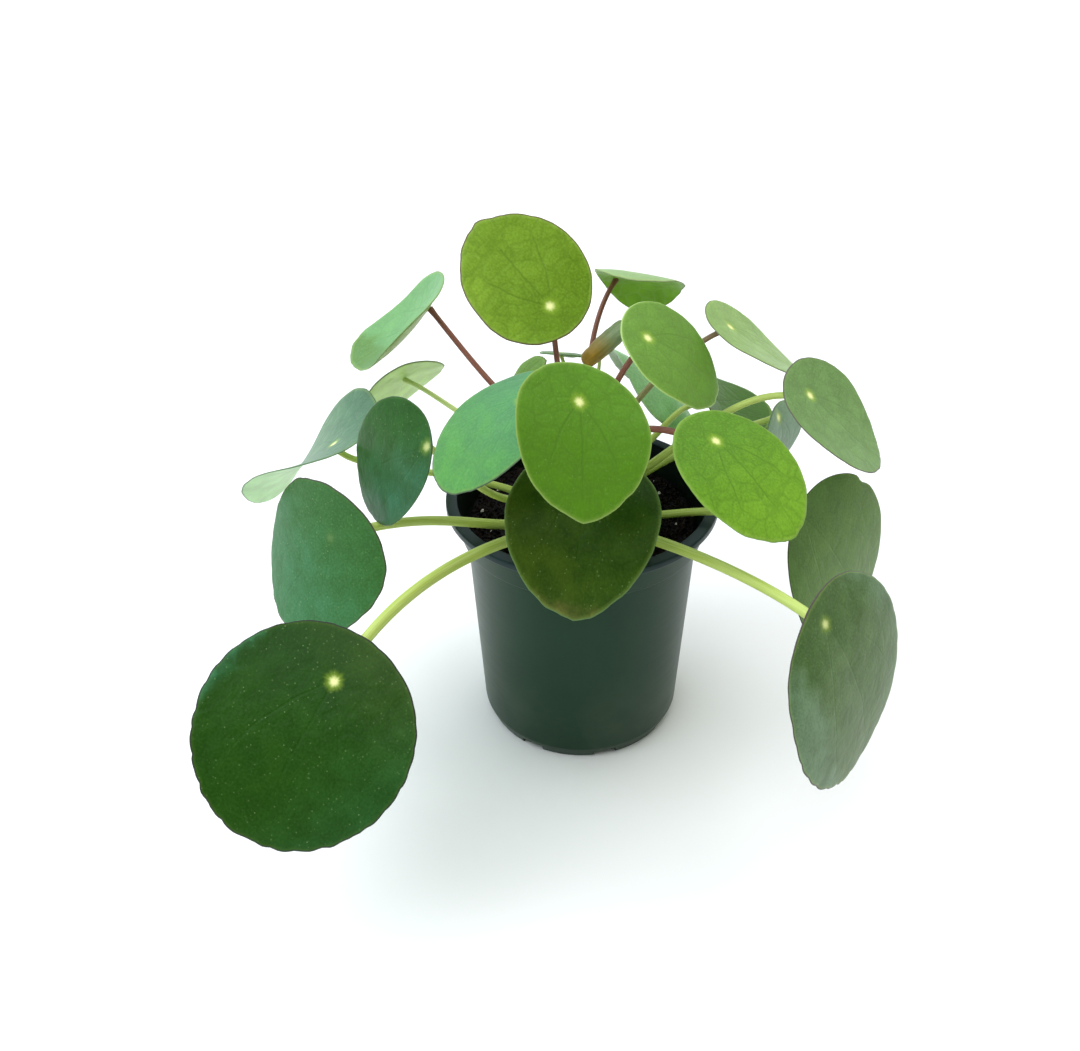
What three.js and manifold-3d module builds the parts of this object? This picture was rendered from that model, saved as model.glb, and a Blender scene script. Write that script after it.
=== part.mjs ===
// A potted pilea: a round-leaved house plant in a tapered plastic nursery pot.
// Millimetres, +Z up. The origin is the centre of the pot's flat underside, and
// the plant's best side faces -Y.
import * as THREE from "three";
import { mergeVertices } from "three/addons/utils/BufferGeometryUtils.js";
import Module from "manifold-3d";

const wasm = await Module();
wasm.setup();

// Pot, a 4.5 inch nursery pot
const potHeight = 111;
const footRadius = 41.6;
const bevelRadius = 44;
const bevelHeight = 6;
const collarHeight = 16;
const collarRadius = 51;
const collarStep = 2.2;
const collarFlare = 1.6;
const lipRadius = 57;
const lipInnerRadius = 52.2;
const lipDepth = 3.2;
const lipRounding = 0.6;
const wallThickness = 1.3;
const floorThickness = 1.6;
const potSides = 32;
const slotCount = 8;
const slotWidth = 10;
const slotHeight = 3.4;
const slotReach = 6;
const firstSlotTurn = 283;

// Soil and the main stem
const clearance = 0.3;
const soilClearance = 0.45;
const soilHeight = 100;
const soilMound = 2.5;
const soilRoughness = 0.7;
const soilShoulder = 6;
const soilSides = 32;
const soilRings = [1, 0.85, 0.68, 0.5, 0.34, 0.2, 0];
const trunkPlace = new THREE.Vector3(3, -10, 0);
const trunkDepth = 16;
const trunkTop = 150;
const trunkRadius = 4.6;
const trunkTopRadius = 3.2;
const trunkSides = 14;
const trunkCrown = 0.6;
const scarDepth = 0.35;
const scarSpacing = 10;

// Leaves
const bladeThickness = 0.8;
const bladeRings = [1, 0.82, 0.6, 0.32];
const marginPoints = 36;
const eggShape = 0.08;
const tipSpread = 0.35;
const toothMiddle = 0.7;
const innerSpacing = 0.55;
const normalStep = 0.02;
const stalkSides = 8;
const stalkSteps = 10;
const stalkTaper = 0.7;

// Youngest leaf, rolled
const rolledRadius = 4.1;
const rolledThickness = 1;
const rolledSides = 12;
const rolledGap = 40;
const rolledSeam = 60;
const rolledSteps = 6;
const rolledTaper = 0.25;
const rolledStalk = [1.6, 1.3];
const rolledStalkReach = 8;
const rolledPath = [[0, -13, 178.5], [6, -6, 180.5], [12, 2, 182.5], [18, 9, 184.5]];

// Each leaf, by what a gardener could measure on it, in millimetres and degrees.
// hub: turn round the pot from +X, reach from its axis and height of the pale dot over the stalk
// face: turn and lift of the way that the blade faces
// tip: turn of the blade's tip from straight downhill, in the plane of the blade
// size: length, width; dot: the dot's distance from the base margin as a share of the length
// droop: fall of the margin along and across the blade; twist: corner against corner
// wave: how many times the margin rises and falls, how far, and where the first crest lies
// scallops, notch: number and depth of the small rounded teeth; point: how far the tip is drawn out
// foot: height and turn of the stalk's foot on the stem; stalk: thickness at foot and blade
// slope: lift of the stalk as it leaves the stem and as it meets the blade; reach: how long it holds each
// veer: how far the stalk's end turns aside from the straight line between its ends
const leaves = [
  { name: "top_front", hub: [236, 23.5, 204], face: [283, 43], tip: -147, size: [51, 46], dot: 0.24,
    droop: [0, -1], twist: -2, point: 1.5,
    foot: [147, 228], slope: [55, 78], reach: [0.55, 0.35], stalk: [2.4, 2], kind: "young", tone: "maroon" },
  { name: "centre", hub: [266.5, 67.3, 190.5], face: [307, 45], tip: -25, size: [54, 50], dot: 0.27,
    droop: [1.5, -2], twist: 1.5, point: 1.5,
    foot: [141, 275], slope: [60, 45], reach: [0.35, 0.3], stalk: [3, 2.4], kind: "young", tone: "maroon" },
  { name: "upper_left", hub: [162, 64, 187], face: [172, 34], tip: -17, size: [55, 48], dot: 0.2,
    droop: [-6, -4], twist: -1.5, wave: [3, 1.3, 10],
    foot: [136, 177], slope: [34, 47], reach: [0.4, 0.4], stalk: [2.6, 2.2], kind: "young", tone: "maroon" },
  { name: "left_back", hub: [154.7, 83.2, 147.8], face: [128, 37], tip: -9, size: [43.5, 40.5], dot: 0.31,
    droop: [0.5, 2.5], twist: -3.5,
    foot: [129, 162], slope: [8, 2], reach: [0.5, 0.2], stalk: [2.6, 2], kind: "mature" },
  { name: "far_left", hub: [182, 100.5, 138.5], face: [162, 57], tip: -4, size: [63.5, 69.5], dot: 0.3,
    droop: [5, -9.5], twist: 3,
    foot: [104, 177], slope: [40, 70], reach: [0.45, 0.16], stalk: [3.4, 2.6], kind: "mature" },
  { name: "left_dark", hub: [221.7, 77.3, 164.8], face: [220.5, 34], tip: -54.5, size: [52.2, 46.4],
    dot: 0.05, droop: [3.6, 0], twist: -3,
    foot: [119, 212], slope: [5, 45], reach: [0.55, 0.35], stalk: [3.4, 2.6], kind: "mature" },
  { name: "left_of_centre", hub: [247, 59, 185], face: [192, 65], tip: 13, size: [59, 48], dot: 0.31,
    droop: [5, 2], twist: -3.5,
    foot: [134, 232], slope: [60, 47], reach: [0.35, 0.3], stalk: [3, 2.4], kind: "mature" },
  { name: "left_low", hub: [207.5, 109, 125], face: [238, 19], tip: -33, size: [64, 60], dot: 0.29,
    droop: [1.5, 4], twist: 9, scallops: 20, notch: 0.4,
    foot: [110, 207], slope: [-5, -5], reach: [0.4, 0.5], stalk: [4.4, 3.6], kind: "old" },
  { name: "front_left_low", hub: [234.5, 149, 116.5], face: [261, 46], tip: -24, size: [76.5, 74], dot: 0.23,
    droop: [2.5, -0.5], twist: -7.5, scallops: 28, notch: 0.45,
    foot: [105.5, 231], slope: [24, -23], reach: [0.37, 0.35], veer: 11, stalk: [4.8, 4], kind: "old" },
  { name: "front_low", hub: [269.5, 50.5, 147.5], face: [261, 59], tip: -2, size: [58, 57], dot: 0.25,
    droop: [9.5, 0], twist: 2, point: 1.5,
    foot: [116, 265], slope: [50, 40], reach: [0.35, 0.3], stalk: [3.6, 3], kind: "old" },
  { name: "front_right_low", hub: [307, 130.5, 124], face: [318, 32], tip: 17, size: [76.5, 76.5], dot: 0.12,
    droop: [8, 5.5], twist: 2.5, scallops: 28, notch: 0.4,
    foot: [106, 298], slope: [24, 0], reach: [0.43, 0.3], veer: -8, stalk: [4.8, 3.8], kind: "old" },
  { name: "right_low", hub: [339, 92, 119], face: [312, 35], tip: 30, size: [69.5, 72], dot: 0.07,
    droop: [7.5, -1], twist: 2,
    foot: [105, 348], slope: [11, 0], reach: [0.4, 0.45], veer: -4, stalk: [3.8, 3], kind: "old" },
  { name: "right_front", hub: [312, 68, 165], face: [320, 64], tip: -1, size: [56, 50.5], dot: 0.25,
    droop: [3, 1.5], twist: 2.5, point: 1.5,
    foot: [141, 326], slope: [46, 10], reach: [0.5, 0.3], stalk: [3, 2.4], kind: "young", tone: "maroon" },
  { name: "upper_right", hub: [319, 30, 191], face: [327, 55], tip: 35, size: [48, 46], dot: 0.23,
    droop: [3.6, 1], twist: 1, point: 1,
    foot: [148, 330], slope: [85, 58], reach: [0.42, 0.36], stalk: [2.8, 2.2],
    kind: "young", tone: "maroon" },
  { name: "right_back_high", hub: [14, 60.5, 179], face: [354, 54], tip: -3, size: [48.5, 42], dot: 0.27,
    droop: [-1, -1], twist: -3,
    foot: [135, 24], slope: [66, 5], reach: [0.34, 0.2], veer: -8, stalk: [2.8, 2.2],
    kind: "mature", tone: "maroon" },
  { name: "right_high", hub: [353, 88, 161.5], face: [329, 48], tip: 11, size: [53.5, 51], dot: 0.25,
    droop: [0, -2.5], twist: -3,
    foot: [115, 6], slope: [36, -8], reach: [0.58, 0.28], veer: -9, stalk: [3.8, 2.6], kind: "mature" },
  { name: "top_back", hub: [69.5, 42.5, 190], face: [81, 42.5], tip: -109, size: [35, 44.5], dot: 0.2,
    droop: [2, 8], twist: 5,
    foot: [147, 98], slope: [48, 25], reach: [0.3, 0.3], veer: -22, stalk: [2.4, 2],
    kind: "young", tone: "maroon" },
  { name: "right_behind", hub: [7, 81.5, 140.5], face: [331, 23], tip: 3, size: [31.5, 40], dot: 0.15,
    droop: [5.5, 0.5], twist: 4.5,
    foot: [109, 38], slope: [21, 10], reach: [0.37, 0.33], stalk: [3.4, 2.6], kind: "mature" },
  { name: "back_right", hub: [32, 70, 134], face: [357, 47], tip: 46, size: [50.5, 42], dot: 0.33,
    droop: [-4, 1], twist: -5.5,
    foot: [122, 28], slope: [21, -20], reach: [0.58, 0.45], veer: -3, stalk: [3, 2.4], kind: "old" },
  { name: "back_middle", hub: [52, 53, 144], face: [17, 47], tip: -7, size: [54, 51], dot: 0.4,
    droop: [4, 11], twist: 0,
    foot: [114, 95], slope: [30, 35], reach: [0.35, 0.3], stalk: [3, 2.4], kind: "mature" },
  { name: "small_behind", hub: [176, 24.5, 163.7], face: [200, 45], tip: 180, size: [18, 16], dot: 0.3,
    droop: [1, 1], twist: 0,
    foot: [147, 180], slope: [45, 30], reach: [0.35, 0.3], stalk: [1.6, 1.4], kind: "young" },
  { name: "small_back", hub: [135, 12, 171.7], face: [78, 66], tip: 0, size: [20, 18], dot: 0.3,
    droop: [1, 1], twist: 0,
    foot: [148, 140], slope: [60, 45], reach: [0.35, 0.3], stalk: [1.6, 1.4], kind: "young" },
];

const kinds = {
  young: { color: "#5f9a32", roughness: 0.42 },
  mature: { color: "#4a8a4a", roughness: 0.45 },
  old: { color: "#2f6a2f", roughness: 0.5 },
};
const stalkKinds = {
  green: { color: "#9ab545", roughness: 0.5 },
  maroon: { color: "#5e2a20", roughness: 0.5 },
};
const plastic = { color: "#33503f", roughness: 0.45 };
const earth = { color: "#1a0f08", roughness: 0.95 };
const bark = { color: "#5a4630", roughness: 0.8 };
const bud = { color: "#8a7a3c", roughness: 0.5 };

const radians = THREE.MathUtils.degToRad;

function turned(turn, lift = 0) {
  const level = Math.cos(radians(lift));
  return new THREE.Vector3(
    level * Math.cos(radians(turn)),
    level * Math.sin(radians(turn)),
    Math.sin(radians(lift)),
  );
}

// Boolean helpers between geometries and solids

function solidOf(geometry) {
  const bare = geometry.clone();
  bare.deleteAttribute("normal");
  bare.deleteAttribute("uv");
  const merged = mergeVertices(bare);
  return new wasm.Manifold(new wasm.Mesh({
    numProp: 3,
    vertProperties: new Float32Array(merged.attributes.position.array),
    triVerts: new Uint32Array(merged.index.array),
  }));
}

function geometryOf(solid) {
  const mesh = solid.getMesh();
  return meshGeometry(mesh.vertProperties, mesh.triVerts);
}

function meshGeometry(positions, triangles) {
  const geometry = new THREE.BufferGeometry();
  geometry.setAttribute("position", new THREE.BufferAttribute(new Float32Array(positions), 3));
  geometry.setIndex(Array.from(triangles));
  geometry.computeVertexNormals();
  return geometry;
}

function lathed(profile, sides) {
  const geometry = new THREE.LatheGeometry(profile.map(([x, y]) => new THREE.Vector2(x, y)), sides);
  return geometry.rotateX(Math.PI / 2);
}

// Pot: tapered wall with a bevelled foot, a stepped collar and a flat rolled lip

function potProfile() {
  const collarFoot = potHeight - collarHeight;
  const wallTop = collarRadius - collarStep;
  const lipUnder = potHeight - lipDepth;
  return [
    [0, 0],
    [footRadius, 0],
    [bevelRadius, bevelHeight],
    [wallTop, collarFoot],
    [collarRadius, collarFoot],
    [collarRadius + collarFlare, lipUnder],
    [lipRadius - lipRounding, lipUnder],
    [lipRadius, lipUnder + lipRounding],
    [lipRadius, potHeight - lipRounding],
    [lipRadius - lipRounding, potHeight],
    [lipInnerRadius + lipRounding, potHeight],
    [lipInnerRadius, potHeight - lipRounding],
    [collarRadius + collarFlare - wallThickness, lipUnder - wallThickness],
    [collarRadius - wallThickness, collarFoot + 0.6 * wallThickness],
    [wallTop - wallThickness, collarFoot - wallThickness],
    [bevelRadius - wallThickness, bevelHeight],
    [footRadius - wallThickness, floorThickness],
    [0, floorThickness],
  ];
}

function potGeometry() {
  let pot = solidOf(lathed(potProfile(), potSides));
  for (let i = 0; i < slotCount; i += 1) {
    const turn = firstSlotTurn + (360 / slotCount) * i;
    const slot = new THREE.BoxGeometry(slotReach, slotWidth, 2 * slotHeight);
    slot.translate(footRadius, 0, 0);
    slot.rotateZ(radians(turn));
    pot = pot.subtract(solidOf(slot));
  }
  return geometryOf(pot);
}

// Soil: fills the pot to just under the collar, with a low uneven mound round the stem

function insideRadius(height) {
  const wallTop = collarRadius - collarStep - wallThickness;
  const collarFoot = potHeight - collarHeight - wallThickness;
  const foot = bevelRadius - wallThickness;
  const share = (height - bevelHeight) / (collarFoot - bevelHeight);
  return foot + (wallTop - foot) * Math.min(Math.max(share, 0), 1);
}

function soilTop(x, y) {
  const reach = Math.hypot(x, y) / insideRadius(soilHeight);
  const lumps = Math.sin(0.31 * x + 1.3) * Math.cos(0.27 * y - 0.4)
    + 0.6 * Math.sin(0.52 * x - 0.47 * y + 2.1)
    + 0.4 * Math.cos(0.83 * x + 0.61 * y);
  return soilHeight + soilMound * (1 - reach * reach) + soilRoughness * lumps;
}

function soilGeometry() {
  const gap = soilClearance;
  const rim = insideRadius(soilHeight - soilShoulder) - gap;
  const profile = [
    [0, floorThickness + gap],
    [footRadius - wallThickness - 2 * gap, floorThickness + gap],
    [insideRadius(bevelHeight) - gap, bevelHeight + gap],
    [rim, soilHeight - soilShoulder],
    ...soilRings.map((share) => [share * rim, soilHeight]),
  ];
  const geometry = lathed(profile, soilSides);
  const position = geometry.attributes.position;
  for (let i = 0; i < position.count; i += 1) {
    if (position.getZ(i) > soilHeight - 1) {
      position.setZ(i, soilTop(position.getX(i), position.getY(i)));
    }
  }
  const holeRadius = trunkRadius + clearance;
  const holeDepth = 2 * (trunkDepth + clearance);
  const hole = new THREE.CylinderGeometry(holeRadius, holeRadius, holeDepth, trunkSides);
  hole.rotateX(Math.PI / 2);
  hole.translate(trunkPlace.x, trunkPlace.y, soilHeight);
  return geometryOf(solidOf(geometry).subtract(solidOf(hole)));
}

// Main stem: one upright tapered stem with a blunt top, scarred by the leaves it has shed

function trunkRadiusAt(height) {
  const share = (height - soilHeight) / (trunkTop - soilHeight);
  return trunkRadius + (trunkTopRadius - trunkRadius) * Math.min(Math.max(share, 0), 1);
}

function trunkGeometry() {
  const foot = soilHeight - trunkDepth;
  const profile = [
    [0, foot],
    [0.7 * trunkRadius, foot],
    [trunkRadius, foot + 0.3 * trunkRadius],
    [trunkRadius, soilHeight],
  ];
  const lastScar = trunkTop - scarSpacing / 4;
  for (let height = soilHeight + scarSpacing / 2; height < lastScar; height += scarSpacing) {
    profile.push([trunkRadiusAt(height) - scarDepth, height]);
    profile.push([trunkRadiusAt(height), height + scarSpacing / 5]);
  }
  profile.push([trunkTopRadius, trunkTop - 3 * trunkCrown]);
  profile.push([0.6 * trunkTopRadius, trunkTop]);
  profile.push([0, trunkTop + trunkCrown]);
  return lathed(profile, trunkSides).translate(trunkPlace.x, trunkPlace.y, 0);
}

// Leaf blade: a thin shield held at its dot, drooping from there to the margin

function bladeFrame(leaf) {
  const [turn, reach, height] = leaf.hub;
  const hub = turned(turn).multiplyScalar(reach).setZ(height);
  const out = turned(leaf.face[0], leaf.face[1]);
  const downhill = turned(leaf.face[0], leaf.face[1] - 90);
  const tip = downhill.applyAxisAngle(out, radians(leaf.tip));
  const side = new THREE.Vector3().crossVectors(out, tip);
  return { hub, out, tip, side };
}

function bladePoint(leaf, frame, share, phase) {
  const halfLength = leaf.size[0] / 2;
  const halfWidth = leaf.size[1] / 2;
  const fromTip = Math.min(phase, 2 * Math.PI - phase) / tipSpread;
  const scallops = leaf.scallops ?? 0;
  const notch = (leaf.notch ?? 0) * share ** 6 * (Math.abs(Math.sin(scallops * phase / 2)) - toothMiddle);
  const grow = share * (1 + notch / halfLength);
  const along = grow * (halfLength * (1 - 2 * leaf.dot + Math.cos(phase))
    + (leaf.point ?? 0) * Math.exp(-fromTip));
  const across = grow * halfWidth * Math.sin(phase) * (1 - eggShape * Math.cos(phase));
  const u = along / halfLength;
  const v = across / halfWidth;
  const [waves, size, start] = leaf.wave ?? [0, 0, 0];
  const height = leaf.twist * u * v - leaf.droop[0] * u * u - leaf.droop[1] * v * v
    + size * share ** 3 * Math.cos(waves * phase + radians(start));
  return frame.hub.clone()
    .addScaledVector(frame.tip, along)
    .addScaledVector(frame.side, across)
    .addScaledVector(frame.out, height);
}

function bladeNormal(leaf, frame, share, phase) {
  const step = normalStep;
  const before = Math.max(share - step, step / 2);
  const outward = bladePoint(leaf, frame, share, phase).sub(bladePoint(leaf, frame, before, phase));
  const later = bladePoint(leaf, frame, before, (phase + step) % (2 * Math.PI));
  const earlier = bladePoint(leaf, frame, before, (phase - step + 2 * Math.PI) % (2 * Math.PI));
  return outward.cross(later.sub(earlier)).normalize();
}

function stitch(outer, inner) {
  const triangles = [];
  let i = 0;
  let j = 0;
  const innerCount = inner.length > 1 ? inner.length : 0;
  while (i < outer.length || j < innerCount) {
    const outerTurn = innerCount === 0 || (i + 0.5) / outer.length <= (j + 0.5) / innerCount;
    if (j === innerCount || (i < outer.length && outerTurn)) {
      triangles.push([outer[i], outer[(i + 1) % outer.length], inner[j % inner.length]]);
      i += 1;
    } else {
      triangles.push([outer[i % outer.length], inner[(j + 1) % innerCount], inner[j]]);
      j += 1;
    }
  }
  return triangles;
}

function bladeGeometry(leaf) {
  const frame = bladeFrame(leaf);
  const margin = leaf.scallops ? 3 * leaf.scallops : marginPoints;
  const positions = [];
  const upper = [];
  const lower = [];
  const addPair = (point, normal) => {
    const half = normal.clone().multiplyScalar(bladeThickness / 2);
    const above = point.clone().add(half);
    const below = point.clone().sub(half);
    positions.push(above.x, above.y, above.z, below.x, below.y, below.z);
    return positions.length / 3 - 2;
  };
  for (const share of bladeRings) {
    const count = share === 1 ? margin : Math.max(Math.round(share * marginPoints * innerSpacing), 8);
    const ring = [];
    for (let i = 0; i < count; i += 1) {
      const phase = 2 * Math.PI * i / count;
      ring.push(addPair(bladePoint(leaf, frame, share, phase), bladeNormal(leaf, frame, share, phase)));
    }
    upper.push(ring);
    lower.push(ring.map((index) => index + 1));
  }
  const middle = addPair(frame.hub, frame.out);
  upper.push([middle]);
  lower.push([middle + 1]);
  const triangles = [];
  for (let i = 0; i + 1 < upper.length; i += 1) {
    triangles.push(...stitch(upper[i], upper[i + 1]));
    triangles.push(...stitch(lower[i], lower[i + 1]).map(([a, b, c]) => [a, c, b]));
  }
  const rimAbove = upper[0];
  const rimBelow = lower[0];
  for (let i = 0; i < rimAbove.length; i += 1) {
    const next = (i + 1) % rimAbove.length;
    triangles.push([rimAbove[i], rimBelow[i], rimBelow[next]]);
    triangles.push([rimAbove[i], rimBelow[next], rimAbove[next]]);
  }
  return meshGeometry(positions, triangles.flat());
}

// Leaf stalk: a tapered round tube from the stem to just under the dot of its blade

function stalkCurve(leaf) {
  const frame = bladeFrame(leaf);
  const [height, turn] = leaf.foot;
  const [rise, land] = leaf.slope;
  const [early, late] = leaf.reach;
  const offset = trunkRadiusAt(height) + clearance + leaf.stalk[0] / 2 * Math.sin(radians(rise));
  const foot = turned(turn).multiplyScalar(offset).add(trunkPlace).setZ(height);
  const chord = frame.hub.clone().sub(foot);
  const course = THREE.MathUtils.radToDeg(Math.atan2(chord.y, chord.x));
  const arrival = turned(course + (leaf.veer ?? 0), land);
  const slant = Math.sqrt(1 - arrival.dot(frame.out) ** 2);
  const below = bladeThickness / 2 + clearance + leaf.stalk[1] / 2 * slant;
  const head = frame.hub.clone().addScaledVector(frame.out, -below);
  return new THREE.CubicBezierCurve3(
    foot,
    foot.clone().addScaledVector(turned(turn, rise), early * chord.length()),
    head.clone().addScaledVector(arrival, -late * chord.length()),
    head,
  );
}

function sweep(curve, steps, outlineAt) {
  const frames = curve.computeFrenetFrames(steps, false);
  const positions = [];
  const triangles = [];
  const sides = outlineAt(0).length;
  for (let step = 0; step <= steps; step += 1) {
    const middle = curve.getPointAt(step / steps);
    outlineAt(step / steps).forEach(([x, y], i) => {
      const point = middle.clone()
        .addScaledVector(frames.normals[step], x)
        .addScaledVector(frames.binormals[step], y);
      positions.push(point.x, point.y, point.z);
      if (step > 0) {
        const here = step * sides + i;
        const next = step * sides + (i + 1) % sides;
        triangles.push([here, here - sides, next - sides]);
        triangles.push([here, next - sides, next]);
      }
    });
  }
  const outline = outlineAt(0).map(([x, y]) => new THREE.Vector2(x, y));
  const last = steps * sides;
  for (const [a, b, c] of THREE.ShapeUtils.triangulateShape(outline, [])) {
    triangles.push([a, c, b]);
    triangles.push([last + a, last + b, last + c]);
  }
  return meshGeometry(positions, triangles.flat());
}

function circle(radius, sides) {
  return Array.from({ length: sides }, (_, i) => {
    const phase = 2 * Math.PI * i / sides;
    return [radius * Math.cos(phase), radius * Math.sin(phase)];
  });
}

function taperedTube(curve, [footThickness, headThickness]) {
  const thickness = (share) => THREE.MathUtils.lerp(footThickness, headThickness, share ** stalkTaper);
  return sweep(curve, stalkSteps, (share) => circle(thickness(share) / 2, stalkSides));
}

// Youngest leaf: still rolled lengthways into a tube, with its open seam turned down

function rolledOutline(share) {
  const swell = 1 - rolledTaper * (2 * share - 1) ** 2;
  const outer = rolledRadius * swell;
  const inner = outer - rolledThickness;
  const arc = (radius) => Array.from({ length: rolledSides + 1 }, (_, i) => {
    const phase = radians(rolledSeam + (360 - rolledGap) * i / rolledSides);
    return [radius * Math.cos(phase), radius * Math.sin(phase)];
  });
  return [...arc(outer), ...arc(inner).reverse()];
}

function rolledGeometry() {
  const curve = new THREE.CatmullRomCurve3(rolledPath.map((point) => new THREE.Vector3(...point)));
  return sweep(curve, rolledSteps, rolledOutline);
}

function rolledStalkGeometry() {
  const head = new THREE.Vector3(...rolledPath[1]).setZ(rolledPath[1][2] - rolledRadius - clearance);
  const foot = trunkPlace.clone().setZ(trunkTop + trunkCrown + clearance);
  const reach = new THREE.Vector3(0, 0, rolledStalkReach);
  const curve = new THREE.CubicBezierCurve3(foot, foot.clone().add(reach), head.clone().sub(reach), head);
  return taperedTube(curve, rolledStalk);
}

// The whole plant

const plant = new THREE.Group();

function add(name, geometry, finish) {
  const mesh = new THREE.Mesh(geometry, new THREE.MeshStandardMaterial({ ...finish, metalness: 0 }));
  mesh.name = name;
  plant.add(mesh);
}

add("pot", potGeometry(), plastic);
add("soil", soilGeometry(), earth);
add("main_stem", trunkGeometry(), bark);
for (const leaf of leaves) {
  add(`stalk_${leaf.name}`, taperedTube(stalkCurve(leaf), leaf.stalk), stalkKinds[leaf.tone ?? "green"]);
  add(`blade_${leaf.name}`, bladeGeometry(leaf), kinds[leaf.kind]);
}
add("stalk_rolled", rolledStalkGeometry(), stalkKinds.green);
add("blade_rolled", rolledGeometry(), bud);

export default plant;
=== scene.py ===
import math

import bpy
from mathutils import Matrix, Vector


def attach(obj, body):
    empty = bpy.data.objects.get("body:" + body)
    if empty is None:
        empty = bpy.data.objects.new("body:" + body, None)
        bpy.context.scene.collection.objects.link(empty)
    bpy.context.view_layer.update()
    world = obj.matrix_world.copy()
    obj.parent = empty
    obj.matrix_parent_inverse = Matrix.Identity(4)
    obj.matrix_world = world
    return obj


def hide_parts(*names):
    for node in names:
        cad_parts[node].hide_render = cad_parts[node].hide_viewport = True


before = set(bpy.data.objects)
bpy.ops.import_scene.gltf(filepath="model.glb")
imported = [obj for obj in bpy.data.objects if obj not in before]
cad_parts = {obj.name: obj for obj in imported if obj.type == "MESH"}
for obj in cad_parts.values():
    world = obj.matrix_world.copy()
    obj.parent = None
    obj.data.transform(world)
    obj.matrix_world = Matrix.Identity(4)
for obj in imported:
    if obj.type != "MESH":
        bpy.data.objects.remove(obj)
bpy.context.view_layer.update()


# The table: a wide, plain, nearly white surface. It is only there to carry the plant's
# soft shadow, and it isn't part of the object.

def linear(code):
    """The linear value of an sRGB colour such as #aabbcc, with full alpha."""
    parts = [int(code[i:i + 2], 16) / 255 for i in (1, 3, 5)]
    return [part / 12.92 if part <= 0.04045 else ((part + 0.055) / 1.055) ** 2.4 for part in parts] + [1]


def feed(tree, node, links):
    """Gives a node's inputs, by name or number, a value, a colour code, an output or a node to feed them."""
    for key, value in links.items():
        if isinstance(value, str) and value.startswith("#"):
            value = linear(value)
        if isinstance(value, bpy.types.Node):
            value = next(output for output in value.outputs if output.enabled)
        if isinstance(value, bpy.types.NodeSocket):
            tree.links.new(value, node.inputs[key])
        else:
            node.inputs[key].default_value = value


def add(tree, kind, links=(), choice=None, **settings):
    """Adds a node. Its links are as in feed, or a list that fills its inputs in use one after another.

    The choice is its operation, its interpolation or its type of data. Other settings go by their names.
    """
    made = tree.nodes.new(kind)
    if choice:
        offered = ("operation", "interpolation_type", "data_type")
        settings[next(name for name in offered if hasattr(made, name))] = choice
    for name, value in settings.items():
        setattr(made, name, value)
    if not isinstance(links, dict):
        in_use = [place for place, socket in enumerate(made.inputs) if socket.enabled]
        links = dict(zip(in_use, links))
    feed(tree, made, links)
    return made


def finish_of(name, surface):
    """An empty material with this surface's fixed values, its tree and its shader node."""
    made = bpy.data.materials.new(name)
    made.use_nodes = True
    shader = made.node_tree.nodes["Principled BSDF"]
    feed(made.node_tree, shader, surface)
    return made, made.node_tree, shader


def placed(name, mesh):
    """A new object with this mesh, in the scene."""
    piece = bpy.data.objects.new(name, mesh)
    bpy.context.collection.objects.link(piece)
    return piece


MIX = "ShaderNodeMix"
NOISE = "ShaderNodeTexNoise"
TABLE_REACH = 4.0

# Matt white laminate: an even, very pale face with hardly any gloss.
laminate, tree, shader = finish_of("matt white laminate", {"Roughness": 0.85, "Specular IOR Level": 0.2})
haze = add(tree, NOISE, {"Scale": 1.5, "Detail": 2.0})
pale = add(tree, MIX, [haze, "#f4f3f1", "#f7f7f6"], "RGBA")
feed(tree, shader, {"Base Color": pale})

table_top = bpy.data.meshes.new("table")
table_top.from_pydata([(-TABLE_REACH, -TABLE_REACH, 0), (TABLE_REACH, -TABLE_REACH, 0),
                       (TABLE_REACH, TABLE_REACH, 0), (-TABLE_REACH, TABLE_REACH, 0)], [], [(0, 1, 2, 3)])
table_top.materials.append(laminate)
placed("table", table_top)


# The pot: one injection-moulded shell of dark green polypropylene, tapered, with a bevelled
# foot, a stepped collar, a flat rolled lip, and drainage slots cut through the foot's edge.

MATH = "ShaderNodeMath"
VECTORS = "ShaderNodeVectorMath"
RANGE = "ShaderNodeMapRange"
JOIN = "ShaderNodeCombineXYZ"
SPLIT = "ShaderNodeSeparateXYZ"
MM = 0.001
POT_HEIGHT = 111
FOOT_RADIUS = 41.6
BEVEL_RADIUS = 44
BEVEL_HEIGHT = 6
COLLAR_FOOT = 95
COLLAR_RADIUS = 51
COLLAR_STEP = 2.2
COLLAR_FLARE = 1.6
LIP_RADIUS = 57
LIP_INNER_RADIUS = 52.2
LIP_DEPTH = 3.2
WALL = 1.3
FLOOR = 1.6
CORNER_RADIUS = 0.7
POT_SIDES = 160


def rounded(profile, radius, steps=4):
    """The profile with each inner corner drawn as an arc of about this radius."""
    points = [Vector(point) for point in profile]
    out = [points[0]]
    for before, corner, after in zip(points, points[1:], points[2:]):
        cut = min(radius, 0.45 * (corner - before).length, 0.45 * (after - corner).length)
        start = corner + (before - corner).normalized() * cut
        end = corner + (after - corner).normalized() * cut
        for step in range(steps + 1):
            share = step / steps
            out.append(start * (1 - share) ** 2 + corner * 2 * share * (1 - share) + end * share ** 2)
    return out + [points[-1]]


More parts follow.
